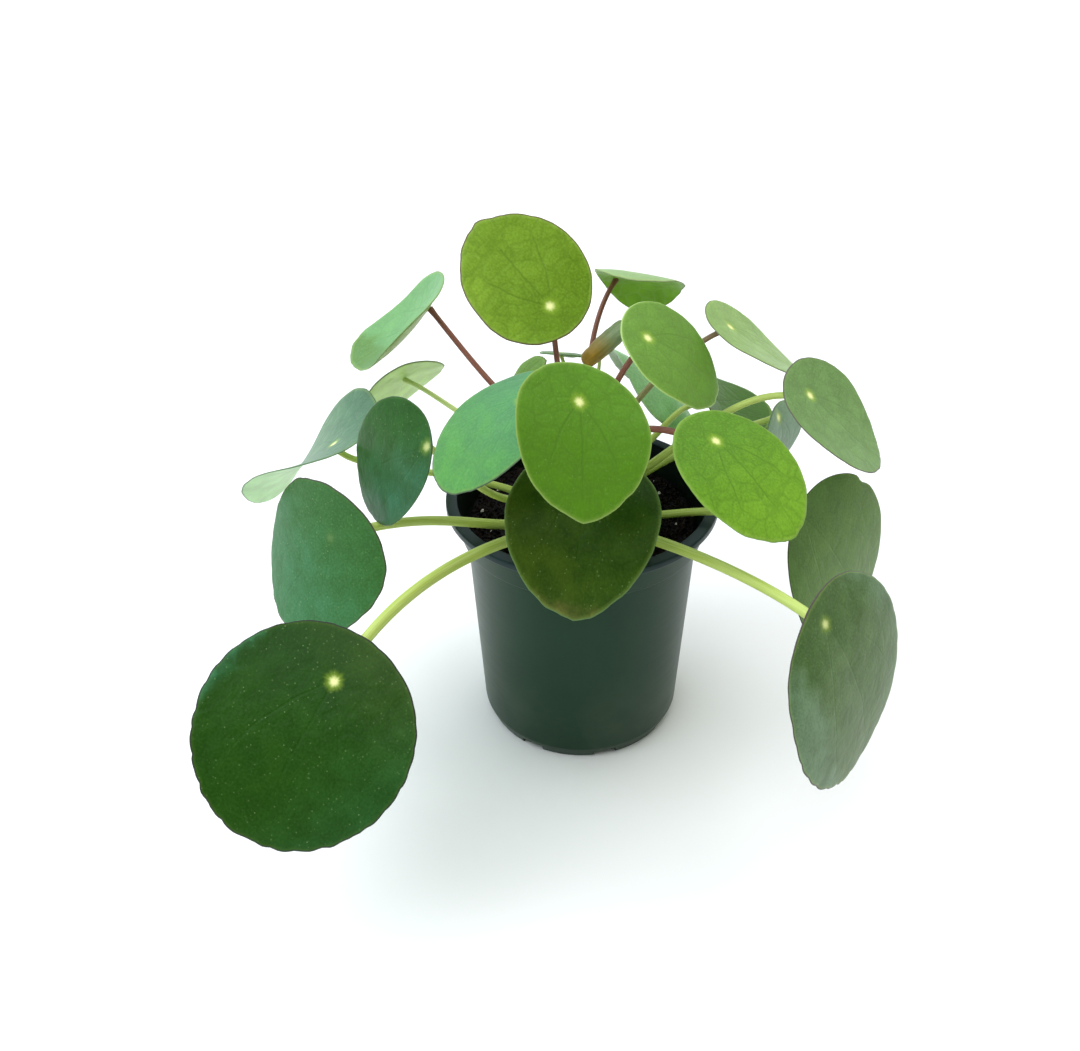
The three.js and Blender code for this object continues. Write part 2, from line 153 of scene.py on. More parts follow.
def turned(profile, sides, height_at=None):
    """A closed mesh turned round Z from a profile that starts and ends on the axis, in millimetres."""
    points, faces = [], []
    inner = profile[1:-1]
    for radius, height in inner:
        for side in range(sides):
            turn = 2 * math.pi * side / sides
            x, y = radius * math.cos(turn), radius * math.sin(turn)
            lift = height_at(x, y, height) if height_at else 0
            points.append((x * MM, y * MM, (height + lift) * MM))
    for ring in range(len(inner) - 1):
        for side in range(sides):
            a = ring * sides + side
            b = ring * sides + (side + 1) % sides
            faces.append((a, b, b + sides, a + sides))
    for ring, (_, height), turn_over in ((0, profile[0], True), (len(inner) - 1, profile[-1], False)):
        lift = height_at(0, 0, height) if height_at else 0
        points.append((0, 0, (height + lift) * MM))
        for side in range(sides):
            a = ring * sides + side
            b = ring * sides + (side + 1) % sides
            faces.append((b, a, len(points) - 1) if turn_over else (a, b, len(points) - 1))
    mesh = bpy.data.meshes.new("turned")
    mesh.from_pydata(points, [], faces)
    return mesh


def shaped(name, tree, sizes, start=None):
    """A plain mesh object: what a Geometry Nodes tree makes of these sizes and this start mesh."""
    piece = placed(name, start or bpy.data.meshes.new(name))
    modifier = piece.modifiers.new("shape", "NODES")
    modifier.node_group = tree
    sockets = {item.name: item.identifier for item in tree.interface.items_tree if item.in_out == "INPUT"}
    for label, value in sizes.items():
        modifier[sockets[label]] = value
    grown = piece.evaluated_get(bpy.context.evaluated_depsgraph_get())
    mesh = bpy.data.meshes.new_from_object(grown)
    piece.modifiers.clear()
    piece.data = mesh
    mesh.name = name
    return piece


def new_tree(name, inputs):
    """An empty Geometry Nodes tree with named inputs of these kinds, and its input and output nodes."""
    tree = bpy.data.node_groups.new(name, "GeometryNodeTree")
    tree.interface.new_socket("Geometry", in_out="INPUT", socket_type="NodeSocketGeometry")
    tree.interface.new_socket("Geometry", in_out="OUTPUT", socket_type="NodeSocketGeometry")
    for kind, labels in inputs.items():
        for label in labels:
            tree.interface.new_socket(label, in_out="INPUT", socket_type="NodeSocket" + kind)
    return tree, add(tree, "NodeGroupInput").outputs, add(tree, "NodeGroupOutput")


def dress(tree, shader, colour, roughness, strength, depth, height):
    """Gives the shader its colour, its roughness and a relief of this strength and depth in millimetres."""
    relief = add(tree, "ShaderNodeBump", {"Strength": strength, "Distance": depth * MM, "Height": height})
    feed(tree, shader, {"Base Color": colour, "Roughness": roughness, "Normal": relief})


# Polypropylene, moulded: a satin skin with a faint orange-peel, a little dust and dried
# water marks low on the wall, and fine scuffs that run round the pot. The lip band is painted
# a bluer grey as a painted reflection of the sky, and the inner wall is painted nearly black as shade.
polypropylene, tree, shader = finish_of("moulded green polypropylene", {
    "IOR": 1.49, "Specular IOR Level": 0.26, "Specular Tint": "#bcf0e6"})
seen = add(tree, "ShaderNodeTexCoord").outputs
place = seen["Object"]
cloud = add(tree, NOISE, [place, 28.0, 5.0])
stretched = add(tree, "ShaderNodeMapping", {"Vector": place, "Scale": (40.0, 40.0, 700.0)})
scuffs = add(tree, NOISE, [stretched, 1.0, 3.0])
peel = add(tree, NOISE, [place, 1400.0, 2.0])
height = add(tree, SPLIT, [place]).outputs[2]
low = add(tree, RANGE, [height, 0.0, 50 * MM, 1.0, 0.0])
dust = add(tree, RANGE, [cloud, 0.48, 0.72, 0.0, 0.25])
dusty = add(tree, MATH, [low, dust], "MULTIPLY")
# Painted reflection: the lip band is painted a bluer grey, as the sky seen in it.
lip = add(tree, RANGE, [height, (POT_HEIGHT - 7) * MM, (POT_HEIGHT - 2.5) * MM, 0.0, 0.85])
outwards = add(tree, VECTORS, [place, (1.0, 1.0, 0.0)], "MULTIPLY")
outer = add(tree, VECTORS, [outwards, seen["Normal"]], "DOT_PRODUCT")
# Painted shade: the inner wall is painted nearly black, as the shade inside the pot.
inner = add(tree, RANGE, [outer, -10 * MM, -30 * MM, 0.0, 0.85])
body = add(tree, MIX, [cloud, "#152a19", "#1d3620"], "RGBA")
for cover, colour in ((lip, "#1c242c"), (dusty, "#6a6a58"), (inner, "#0a0b09")):
    body = add(tree, MIX, [cover, body, colour], "RGBA")
gloss = add(tree, RANGE, [scuffs, 0.3, 0.7, 0.36, 0.4])
dress(tree, shader, body, gloss, 0.25, 0.1, peel)


def creased(tree, shape, angle):
    """The shape shaded smooth, all but its edges that bend by more than this angle in degrees."""
    bend = add(tree, "GeometryNodeInputMeshEdgeAngle")
    soft = add(tree, "FunctionNodeCompare", [bend, math.radians(angle)], data_type="FLOAT",
               operation="LESS_THAN")
    shape = add(tree, "GeometryNodeSetShadeSmooth", {0: shape, 2: soft}, domain="EDGE")
    return add(tree, "GeometryNodeSetShadeSmooth", {0: shape, 2: True}, domain="FACE")


def send_out(tree, result, shape, finish):
    """Ends a Geometry Nodes tree: every instance made real, and the shape given its finish."""
    whole = add(tree, "GeometryNodeRealizeInstances", [shape])
    done = add(tree, "GeometryNodeSetMaterial", {0: whole, 2: finish})
    feed(tree, result, {0: done})


slots, given, result = new_tree("drainage slots", {
    "Int": ["Count"], "Float": ["Width", "Height", "Depth", "Radius", "First turn"],
    "Material": ["Finish"]})
ring = add(slots, "GeometryNodeMeshCircle", [given["Count"], given["Radius"]])
turn = add(slots, JOIN, {2: given["First turn"]})
ring = add(slots, "GeometryNodeTransform", {0: ring, "Rotation": turn})
spot = add(slots, "GeometryNodeInputPosition")
facing = add(slots, "FunctionNodeAlignRotationToVector", {"Vector": spot}, axis="X")
tall = add(slots, MATH, [given["Height"], 2.0], "MULTIPLY")
block = add(slots, JOIN, [given["Depth"], given["Width"], tall])
cutter = add(slots, "GeometryNodeMeshCube", [block])
cutters = add(slots, "GeometryNodeInstanceOnPoints", {0: ring, "Instance": cutter, "Rotation": facing})
cutters = add(slots, "GeometryNodeRealizeInstances", [cutters])
cut = add(slots, "GeometryNodeMeshBoolean", {0: given["Geometry"], 1: cutters},
          operation="DIFFERENCE", solver="EXACT")
send_out(slots, result, creased(slots, cut, 28), given["Finish"])

lip_under = POT_HEIGHT - LIP_DEPTH
pot_profile = [
    (0, 0), (FOOT_RADIUS, 0), (BEVEL_RADIUS, BEVEL_HEIGHT), (COLLAR_RADIUS - COLLAR_STEP, COLLAR_FOOT),
    (COLLAR_RADIUS, COLLAR_FOOT), (COLLAR_RADIUS + COLLAR_FLARE, lip_under), (LIP_RADIUS, lip_under),
    (LIP_RADIUS, POT_HEIGHT), (LIP_INNER_RADIUS, POT_HEIGHT), (LIP_INNER_RADIUS, POT_HEIGHT - 0.9),
    (COLLAR_RADIUS + COLLAR_FLARE - WALL, lip_under - WALL), (COLLAR_RADIUS - WALL, COLLAR_FOOT + 0.8),
    (COLLAR_RADIUS - COLLAR_STEP - WALL, COLLAR_FOOT - WALL), (BEVEL_RADIUS - WALL, BEVEL_HEIGHT),
    (FOOT_RADIUS - WALL, FLOOR), (0, FLOOR)]
pot = shaped("nursery_pot", slots, {
    "Count": 8, "Width": 10 * MM, "Height": 3.4 * MM, "Depth": 6 * MM, "Radius": FOOT_RADIUS * MM,
    "First turn": math.radians(283), "Finish": polypropylene}, turned(rounded(pot_profile, CORNER_RADIUS), POT_SIDES))
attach(pot, "root")
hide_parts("pot")


# The potting mix: dark, moist peat with bark crumbs, white perlite grains and a few pale
# fibres, filled by hand to a finger's width under the lip and lightly mounded at the stem.

STORE = "GeometryNodeStoreNamedAttribute"
SOIL_HEIGHT = 100
SOIL_RADIUS = 47
SOIL_MOUND = 2.5
SOIL_SIDES = 150
PLAIN_TONE = 0.55


def soil_lift(x, y, height):
    """How far the surface of the mix stands above its even level."""
    if height < SOIL_HEIGHT - 1:
        return 0
    share = math.hypot(x, y) / SOIL_RADIUS
    lumps = (math.sin(0.31 * x + 1.3) * math.cos(0.27 * y - 0.4) + 0.6 * math.sin(0.52 * x - 0.47 * y + 2.1)
             + 0.4 * math.cos(0.83 * x + 0.61 * y))
    crumbs = math.sin(1.7 * x + 0.9 * y) * math.cos(1.9 * y - 0.8 * x)
    return SOIL_MOUND * (1 - share * share) + 0.7 * lumps + 0.45 * crumbs * (1 - share ** 4) - 0.5


def chain(tree, kind, value, *steps):
    """What a row of nodes of one kind makes of the value. A step is the choice and the other inputs."""
    for choice, *others in steps:
        value = add(tree, kind, [value, *others], choice)
    return value


# Peat and bark: nearly black where moist, brown where a crumb has dried, quite rough.
peat, tree, shader = finish_of("moist peat and bark", {"Specular IOR Level": 0.12})
place = add(tree, "ShaderNodeTexCoord").outputs["Object"]
tone = add(tree, "ShaderNodeAttribute", attribute_name="tone").outputs["Fac"]
patches = add(tree, NOISE, [place, 260.0, 6.0])
blend = add(tree, MATH, [patches, tone], "MULTIPLY")
shades = add(tree, "ShaderNodeValToRGB", [blend])
shades.color_ramp.elements[0].position = 0.1
shades.color_ramp.elements[0].color = linear("#030202")
shades.color_ramp.elements[1].position = 0.6
shades.color_ramp.elements[1].color = linear("#160d08")
shades.color_ramp.elements.new(0.32).color = linear("#080504")
damp = add(tree, RANGE, [patches, 0.3, 0.7, 0.6, 0.95])
dress(tree, shader, shades, damp, 0.8, 0.6, patches)

# Perlite: expanded volcanic glass, chalk white with tiny dark pores.
perlite, tree, shader = finish_of("white perlite", {"Roughness": 0.9, "Specular IOR Level": 0.2})
place = add(tree, "ShaderNodeTexCoord").outputs["Object"]
pores = add(tree, NOISE, [place, 1600.0, 3.0])
chalk = add(tree, MIX, [pores, "#8d8578", "#e9e4da"], "RGBA")
feed(tree, shader, {"Base Color": chalk})

grains, given, result = new_tree("scattered grains", {
    "Float": ["Spacing", "Size", "Flatness", "Length", "Reach", "Tone"], "Int": ["Seed"],
    "Material": ["Finish"]})
spot = add(grains, "GeometryNodeInputPosition")
parts = add(grains, SPLIT, [spot]).outputs
normal = add(grains, "GeometryNodeInputNormal")
up = add(grains, SPLIT, [normal]).outputs[2]
level = add(grains, MATH, [parts[2], (SOIL_HEIGHT - 4) * MM], "GREATER_THAN")
open_top = add(grains, MATH, [up, 0.5], "GREATER_THAN")
flat_spot = add(grains, JOIN, [parts[0], parts[1]])
away = add(grains, VECTORS, [flat_spot], "LENGTH")
inside = add(grains, MATH, [away, given["Reach"]], "LESS_THAN")
here = chain(grains, MATH, level, ("MULTIPLY", open_top), ("MULTIPLY", inside))
dots = add(grains, "GeometryNodeDistributePointsOnFaces", {
    "Mesh": given["Geometry"], "Selection": here, "Distance Min": given["Spacing"],
    "Density Max": 4000000.0, "Density Factor": 1.0, "Seed": given["Seed"]}, distribute_method="POISSON")
turns = add(grains, "FunctionNodeRandomValue", {1: (6.28, 6.28, 6.28), "Seed": given["Seed"]}, "FLOAT_VECTOR")
spread = add(grains, "FunctionNodeRandomValue", {2: 0.45, 3: 1.5, "Seed": given["Seed"]}, "FLOAT")
flat = add(grains, JOIN, [given["Length"], 1.0, given["Flatness"]])
scale = add(grains, VECTORS, [flat, spread], "SCALE")
stone = add(grains, "GeometryNodeMeshIcoSphere", [given["Size"], 2])
set_down = add(grains, "GeometryNodeInstanceOnPoints", {
    "Points": dots, "Instance": stone, "Rotation": turns, "Scale": scale})
shade = add(grains, "FunctionNodeRandomValue", {2: 0.3, 3: 1.6, "Seed": given["Seed"]}, "FLOAT")
toned = add(grains, MATH, [shade, given["Tone"]], "MULTIPLY")
marked = add(grains, STORE, {0: set_down, "Name": "tone", "Value": toned}, domain="INSTANCE")
loose = add(grains, "GeometryNodeRealizeInstances", [marked])
spot = add(grains, "GeometryNodeInputPosition")
chips = add(grains, NOISE, [spot, 900.0, 1.0]).outputs[1]
rough = chain(grains, VECTORS, chips, ("SUBTRACT", (0.5, 0.5, 0.5)), ("SCALE", given["Size"]))
broken = add(grains, "GeometryNodeSetPosition", {"Geometry": loose, "Offset": rough})
send_out(grains, result, broken, given["Finish"])

soil_profile = [(0, 2.1), (38.5, 2.1), (42.2, 6.5), (SOIL_RADIUS, 94), (SOIL_RADIUS + 0.3, SOIL_HEIGHT)]
soil_profile += [(SOIL_RADIUS * share / 46, SOIL_HEIGHT) for share in range(45, 0, -1)] + [(0, SOIL_HEIGHT)]
bed = turned(soil_profile, SOIL_SIDES, soil_lift)
plain_tone = bed.attributes.new("tone", "FLOAT", "POINT")
plain_tone.data.foreach_set("value", [PLAIN_TONE] * len(bed.vertices))
bed.materials.append(peat)
soil = placed("potting_mix", bed)
bed.shade_smooth()
loose_mix = [
    ("peat_crumbs", 1.5, 0.75, 0.7, 1.2, 46, 0.75, 3, peat),
    ("bark_chips", 5.0, 1.5, 0.35, 1.8, 44, 1.0, 8, peat),
    ("fibres", 7.5, 0.22, 1.0, 16.0, 41, 1.7, 5, peat),
    ("perlite_grains", 12.0, 0.8, 0.8, 1.1, 44, 1.0, 21, perlite)]
for name, spacing, size, flatness, length, edge, tone, seed, material in loose_mix:
    loose_part = shaped(name, grains, {
        "Spacing": spacing * MM, "Size": size * MM, "Flatness": flatness, "Length": length,
        "Reach": edge * MM, "Tone": tone, "Seed": seed, "Finish": material}, bed.copy())
    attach(loose_part, "root")
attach(soil, "root")
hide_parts("soil")


# The main stem: one short upright stem, corky brown below and green towards its tip, ringed
# by the scars of leaves that it has shed, with the living leaf stalks standing round it.

STEM_PLACE = Vector((3, -10, 0))
STEM_TOP = 150
STEM_RADIUS = 4.6
STEM_TOP_RADIUS = 3.2
STEM_SIDES = 40
STEM_STEPS = 64
SCAR_SPACING = 10


def stem_radius(height):
    """The stem's radius at this height, in millimetres."""
    share = min(max((height - SOIL_HEIGHT) / (STEM_TOP - SOIL_HEIGHT), 0), 1)
    return STEM_RADIUS + (STEM_TOP_RADIUS - STEM_RADIUS) * share


# Young cork over a green stem: brown and cracked lengthways at the foot, olive green above.
cork, tree, shader = finish_of("green corky stem", {"Specular IOR Level": 0.3})
place = add(tree, "ShaderNodeTexCoord").outputs["Object"]
long_way = add(tree, "ShaderNodeMapping", {"Vector": place, "Scale": (900.0, 900.0, 160.0)})
cracks = add(tree, NOISE, [long_way, 1.0, 4.0])
height = add(tree, SPLIT, [place]).outputs[2]
age = add(tree, RANGE, [height, (SOIL_HEIGHT + 12) * MM, (STEM_TOP - 8) * MM, 0.0, 1.0])
brown = add(tree, MIX, [cracks, "#3c2c1c", "#7d6a4a"], "RGBA")
green = add(tree, MIX, [cracks, "#5f7030", "#9db054"], "RGBA")
skin = add(tree, MIX, [age, brown, green], "RGBA")
dress(tree, shader, skin, 0.7, 0.7, 0.4, cracks)

stem_profile = [(0, 84), (3.2, 84), (STEM_RADIUS, 85.4)]
for step in range(STEM_STEPS):
    level = 88 + step * (STEM_TOP - 89) / STEM_STEPS
    scar = (level - SOIL_HEIGHT - 5) % SCAR_SPACING
    pinch = 0.35 * math.exp(-((scar - 1.2) / 1.0) ** 2) - 0.2 * math.exp(-((scar - 3) / 0.8) ** 2)
    stem_profile.append((stem_radius(level) - pinch, level))
stem_profile += [(0.8 * STEM_TOP_RADIUS, STEM_TOP), (0.4 * STEM_TOP_RADIUS, STEM_TOP + 0.5),
                 (0, STEM_TOP + 0.6)]
trunk = turned(stem_profile, STEM_SIDES)
trunk.transform(Matrix.Translation(STEM_PLACE * MM))
trunk.materials.append(cork)
trunk.shade_smooth()
stem = placed("stem", trunk)
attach(stem, "root")
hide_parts("main_stem")


# The leaves: round fleshy shields, each held on a long stalk a little inside its margin. A pale
# dot marks the place of the stalk, and the veins run from it. Old leaves are the large, dark,
# low ones with a finely scalloped edge; young ones are small and bright on maroon stalks.

# hub: turn round the pot, reach and height of the dot; face: turn and lift of the upper side; tip: turn
# of the tip from straight downhill; size: length and width; dot: how far inside the margin it lies, as a
# share of the length; droop, twist, wave and fold: how the blade bends; point, scallops, notch and dent:
# its outline; foot, slope, reach, veer and stalk: the stalk's course and thickness. All in mm and degrees.
LEAVES = {
    "top_front": dict(
        hub=(236, 23.5, 204), face=(283, 43), tip=-147, size=(51, 46), dot=0.24, droop=(0, -1), twist=-2,
        point=1.5, foot=(147, 228), slope=(55, 78), reach=(0.55, 0.35), stalk=(2.4, 2), tone="maroon"),
    "centre": dict(
        hub=(266.5, 67.3, 190.5), face=(307, 45), tip=-25, size=(54, 50), dot=0.27, droop=(1.5, -2),
        twist=1.5, point=1.5, foot=(141, 275), slope=(60, 45), stalk=(3, 2.4), tone="maroon"),
    "upper_left": dict(
        hub=(162, 64, 187), face=(172, 34), tip=-17, size=(55, 48), dot=0.2, droop=(-6, -4), twist=-1.5,
        wave=(3, 1.3, 10), foot=(136, 177), slope=(34, 47), reach=(0.4, 0.4),
        stalk=(2.6, 2.2), tone="maroon"),
    "left_back": dict(
        hub=(154.7, 83.2, 147.8), face=(128, 37), tip=-9, size=(43.5, 40.5), dot=0.31, droop=(0.5, 2.5),
        twist=-3.5, foot=(129, 162), slope=(8, 2), reach=(0.5, 0.2), stalk=(2.6, 2), tone="pale"),
    "far_left": dict(
        hub=(182, 100.5, 138.5), face=(162, 57), tip=-4, size=(63.5, 69.5), dot=0.3, droop=(5, -9.5), twist=3,
        foot=(104, 177), slope=(40, 70), reach=(0.45, 0.16), stalk=(3.4, 2.6)),
    "left_dark": dict(
        hub=(221.7, 77.3, 164.8), face=(220.5, 34), tip=-54.5, size=(52.2, 46.4), dot=0.05, droop=(3.6, 0),
        twist=-3, foot=(119, 212), slope=(5, 45), reach=(0.55, 0.35), stalk=(3.4, 2.6)),
    "left_of_centre": dict(
        hub=(247, 59, 185), face=(192, 65), tip=13, size=(59, 48), dot=0.31, droop=(5, 2), twist=-3.5,
        foot=(134, 232), slope=(60, 47), stalk=(3, 2.4)),
    "left_low": dict(
        hub=(207.5, 109, 125), face=(238, 19), tip=-33, size=(64, 60), dot=0.29, droop=(1.5, 4), twist=9,
        scallops=20, notch=0.4, foot=(110, 207), slope=(-5, -5), reach=(0.4, 0.5), stalk=(4.4, 3.6)),
    "front_left_low": dict(
        hub=(234.5, 149, 116.5), face=(261, 46), tip=-24, size=(76.5, 74), dot=0.23, droop=(2.5, -0.5),
        twist=-7.5, scallops=28, notch=0.45, foot=(105.5, 231), slope=(24, -23), reach=(0.37, 0.35), veer=11,
        stalk=(4.8, 4)),
    "front_low": dict(
        hub=(269.5, 50.5, 147.5), face=(261, 59), tip=-2, size=(58, 57), dot=0.25, droop=(9.5, 0), twist=2,
        point=1.5, foot=(116, 265), slope=(50, 40), stalk=(3.6, 3)),
    "front_right_low": dict(
        hub=(307, 130.5, 124), face=(318, 32), tip=17, size=(76.5, 76.5), dot=0.12, droop=(8, 5.5), twist=2.5,
        scallops=28, notch=0.4, fold=3, foot=(106, 298), slope=(24, 0), reach=(0.43, 0.3), veer=-8,
        stalk=(4.8, 3.8)),
    "right_low": dict(
        hub=(339, 92, 119), face=(312, 35), tip=30, size=(69.5, 72), dot=0.07, droop=(7.5, -1), twist=2,
        dent=(2, 108), foot=(105, 348), slope=(11, 0), reach=(0.4, 0.45), veer=-4, stalk=(3.8, 3)),
    "right_front": dict(
        hub=(312, 68, 165), face=(320, 64), tip=-1, size=(56, 50.5), dot=0.25, droop=(3, 1.5), twist=2.5,
        point=1.5, foot=(141, 326), slope=(46, 10), reach=(0.5, 0.3), stalk=(3, 2.4), tone="maroon"),
    "upper_right": dict(
        hub=(319, 30, 191), face=(327, 55), tip=35, size=(48, 46), dot=0.23, droop=(3.6, 1), twist=1,
        point=1, foot=(148, 330), slope=(85, 58), reach=(0.42, 0.36), stalk=(2.8, 2.2), tone="maroon"),
    "right_back_high": dict(
        hub=(14, 60.5, 179), face=(354, 54), tip=-3, size=(48.5, 42), dot=0.27, droop=(-1, -1), twist=-3,
        foot=(135, 24), slope=(66, 5), reach=(0.34, 0.2), veer=-8, stalk=(2.8, 2.2), tone="blushed"),
    "right_high": dict(
        hub=(353, 88, 161.5), face=(329, 48), tip=11, size=(53.5, 51), dot=0.25, droop=(0, -2.5), twist=-3,
        foot=(115, 6), slope=(36, -8), reach=(0.58, 0.28), veer=-9, stalk=(3.8, 2.6)),
    "top_back": dict(
        hub=(69.5, 42.5, 190), face=(81, 42.5), tip=-109, size=(35, 44.5), dot=0.2, droop=(2, 8), twist=5,
        foot=(147, 98), slope=(48, 25), reach=(0.3, 0.3), veer=-22, stalk=(2.4, 2), tone="maroon"),
    "right_behind": dict(
        hub=(7, 81.5, 140.5), face=(331, 23), tip=3, size=(31.5, 40), dot=0.15, droop=(5.5, 0.5), twist=4.5,
        foot=(109, 38), slope=(21, 10), reach=(0.37, 0.33), stalk=(3.4, 2.6)),
    "back_right": dict(
        hub=(32, 70, 134), face=(357, 47), tip=46, size=(50.5, 42), dot=0.33, droop=(-4, 1), twist=-5.5,
        foot=(122, 28), slope=(21, -20), reach=(0.58, 0.45), veer=-3, stalk=(3, 2.4)),
    "back_middle": dict(
        hub=(52, 53, 144), face=(17, 47), tip=-7, size=(54, 51), dot=0.4, droop=(4, 11), twist=0,
        foot=(114, 95), slope=(30, 35), stalk=(3, 2.4)),
    "small_behind": dict(
        hub=(176, 24.5, 163.7), face=(200, 45), tip=180, size=(18, 16), dot=0.3, droop=(1, 1), twist=0,
        foot=(147, 180), slope=(45, 30), stalk=(1.6, 1.4)),
    "small_back": dict(
        hub=(135, 12, 171.7), face=(78, 66), tip=0, size=(20, 18), dot=0.3, droop=(1, 1), twist=0,
        foot=(148, 140), slope=(60, 45), stalk=(1.6, 1.4)),
}
BLADE = 0.8
STALK_GAP = 0.3
PLAIN_REACH = (0.35, 0.3)
PLAIN_SECTORS = 109


def way(turn, lift):
    """The direction with this turn round the pot and this lift over level, in degrees."""
    flat = math.cos(math.radians(lift))
    return Vector((flat * math.cos(math.radians(turn)), flat * math.sin(math.radians(turn)),
                   math.sin(math.radians(lift))))


def held_at(leaf):
    """Where the leaf's dot is, in millimetres, which way its upper side looks and where its tip points."""
    turn, reach, height = leaf["hub"]
    hub = way(turn, 0) * reach + Vector((0, 0, height))
    out = way(*leaf["face"])
    downhill = way(leaf["face"][0], leaf["face"][1] - 90)
    return hub, out, Matrix.Rotation(math.radians(leaf["tip"]), 3, out) @ downhill


blades, given, result = new_tree("leaf blade", {
    "Vector": ["Hub", "Out", "Tip"], "Int": ["Sectors", "Scallops", "Waves"],
    "Float": ["Half length", "Half width", "Dot", "Droop along", "Droop across", "Twist", "Point", "Notch",
              "Wave size", "Wave start", "Fold", "Dent", "Dent turn", "Thickness", "Unevenness", "Seed"],
    "Material": ["Finish"]})

# share: how far a spot of the sheet is on its way from the dot to the margin; phase: the turn from the tip
sheet = add(blades, "GeometryNodeMeshGrid", [1.0, 1.0, 22, given["Sectors"]])
flat_spot = add(blades, "GeometryNodeInputPosition")
square = add(blades, SPLIT, [flat_spot]).outputs
share = chain(blades, MATH, square[0], ("MULTIPLY_ADD", -1.0, 0.5), ("MAXIMUM", 0.0), ("POWER", 1.6),
              ("MULTIPLY_ADD", -1.0, 1.0))
phase = chain(blades, MATH, square[1], ("ADD", 0.5), ("MULTIPLY", 2 * math.pi))
cosine = add(blades, MATH, [phase], "COSINE")
sine = add(blades, MATH, [phase], "SINE")
# the margin: scallops, an uneven outline and a dent, as shares of the half length, with a point at the tip
on_ring = add(blades, JOIN, [cosine, sine, given["Seed"]])
uneven = add(blades, NOISE, [on_ring, 2.6, 2.0])
uneven = add(blades, MATH, [uneven, 0.5], "SUBTRACT")
shift = add(blades, MATH, [uneven, 0.5], "MULTIPLY")
teeth = chain(blades, MATH, phase, ("ADD", shift), ("MULTIPLY", given["Scallops"]), ("MULTIPLY", 0.5),
              ("SINE",), ("ABSOLUTE",), ("SUBTRACT", 0.7), ("MULTIPLY", given["Notch"]))
wander = add(blades, MATH, [uneven, 1.8 * MM], "MULTIPLY")
past_dent = chain(blades, MATH, phase, ("SUBTRACT", given["Dent turn"]), ("DIVIDE", 0.09))
dent = chain(blades, MATH, past_dent, ("MULTIPLY", past_dent), ("MULTIPLY", -1.0), ("EXPONENT",),
             ("MULTIPLY", given["Dent"]))
at_margin = add(blades, MATH, [share, 6.0], "POWER")
grow = chain(blades, MATH, teeth, ("ADD", wander), ("SUBTRACT", dent), ("MULTIPLY", at_margin),
             ("DIVIDE", given["Half length"]), ("ADD", 1.0), ("MULTIPLY", share))
other_way = add(blades, MATH, [2 * math.pi, phase], "SUBTRACT")
point = chain(blades, MATH, phase, ("MINIMUM", other_way), ("DIVIDE", -0.35), ("EXPONENT",),
              ("MULTIPLY", given["Point"]))
# along and across: metres from the dot towards the tip and to the side, on the leaf laid flat
along = chain(blades, MATH, given["Dot"], ("MULTIPLY", -2.0), ("ADD", 1.0), ("ADD", cosine),
              ("MULTIPLY", given["Half length"]), ("ADD", point), ("MULTIPLY", grow))
egg = chain(blades, MATH, cosine, ("MULTIPLY", -0.08), ("ADD", 1.0))
across = chain(blades, MATH, sine, ("MULTIPLY", given["Half width"]), ("MULTIPLY", egg), ("MULTIPLY", grow))
# lift: how far a spot stands above the flat leaf, by twist, droop, fold, waves, unevenness and dimple
far_along = add(blades, MATH, [along, given["Half length"]], "DIVIDE")
far_across = add(blades, MATH, [across, given["Half width"]], "DIVIDE")
lift = chain(blades, MATH, far_along, ("MULTIPLY", far_across), ("MULTIPLY", given["Twist"]))
for label, far in (("Droop along", far_along), ("Droop across", far_across)):
    fall = chain(blades, MATH, far, ("MULTIPLY", far), ("MULTIPLY", given[label]))
    lift = add(blades, MATH, [lift, fall], "SUBTRACT")
past_dot = add(blades, RANGE, {0: far_along, 1: -0.1, 2: 0.4}, "SMOOTHSTEP")
ridge = chain(blades, MATH, far_across, ("MULTIPLY", far_across), ("ADD", 0.004), ("SQRT",),
              ("MULTIPLY", past_dot), ("MULTIPLY", given["Fold"]))
crest = chain(blades, MATH, phase, ("MULTIPLY", given["Waves"]), ("ADD", given["Wave start"]), ("COSINE",),
              ("MULTIPLY", given["Wave size"]))
wave = chain(blades, MATH, share, ("POWER", 3.0), ("MULTIPLY", crest))
flat_place = add(blades, JOIN, [along, across, given["Seed"]])
bumps = add(blades, NOISE, [flat_place, 55.0, 1.5])
bumps = chain(blades, MATH, bumps, ("SUBTRACT", 0.5), ("MULTIPLY", given["Unevenness"]), ("MULTIPLY", share))
from_dot = add(blades, JOIN, [along, across])
from_dot = add(blades, VECTORS, [from_dot], "LENGTH")
near = add(blades, MATH, [from_dot, 2.6 * MM], "DIVIDE")
dimple = chain(blades, MATH, near, ("MULTIPLY", near), ("MULTIPLY", -1.0), ("EXPONENT",),
               ("MULTIPLY", 0.4 * MM))
lift = chain(blades, MATH, lift, ("ADD", ridge), ("ADD", wave), ("ADD", bumps), ("SUBTRACT", dimple))
side = add(blades, VECTORS, [given["Out"], given["Tip"]], "CROSS_PRODUCT")
to_side = add(blades, VECTORS, [side, across], "SCALE")
to_sky = add(blades, VECTORS, [given["Out"], lift], "SCALE")
spot = chain(blades, VECTORS, given["Tip"], ("SCALE", along), ("ADD", to_side), ("ADD", to_sky),
             ("ADD", given["Hub"]))
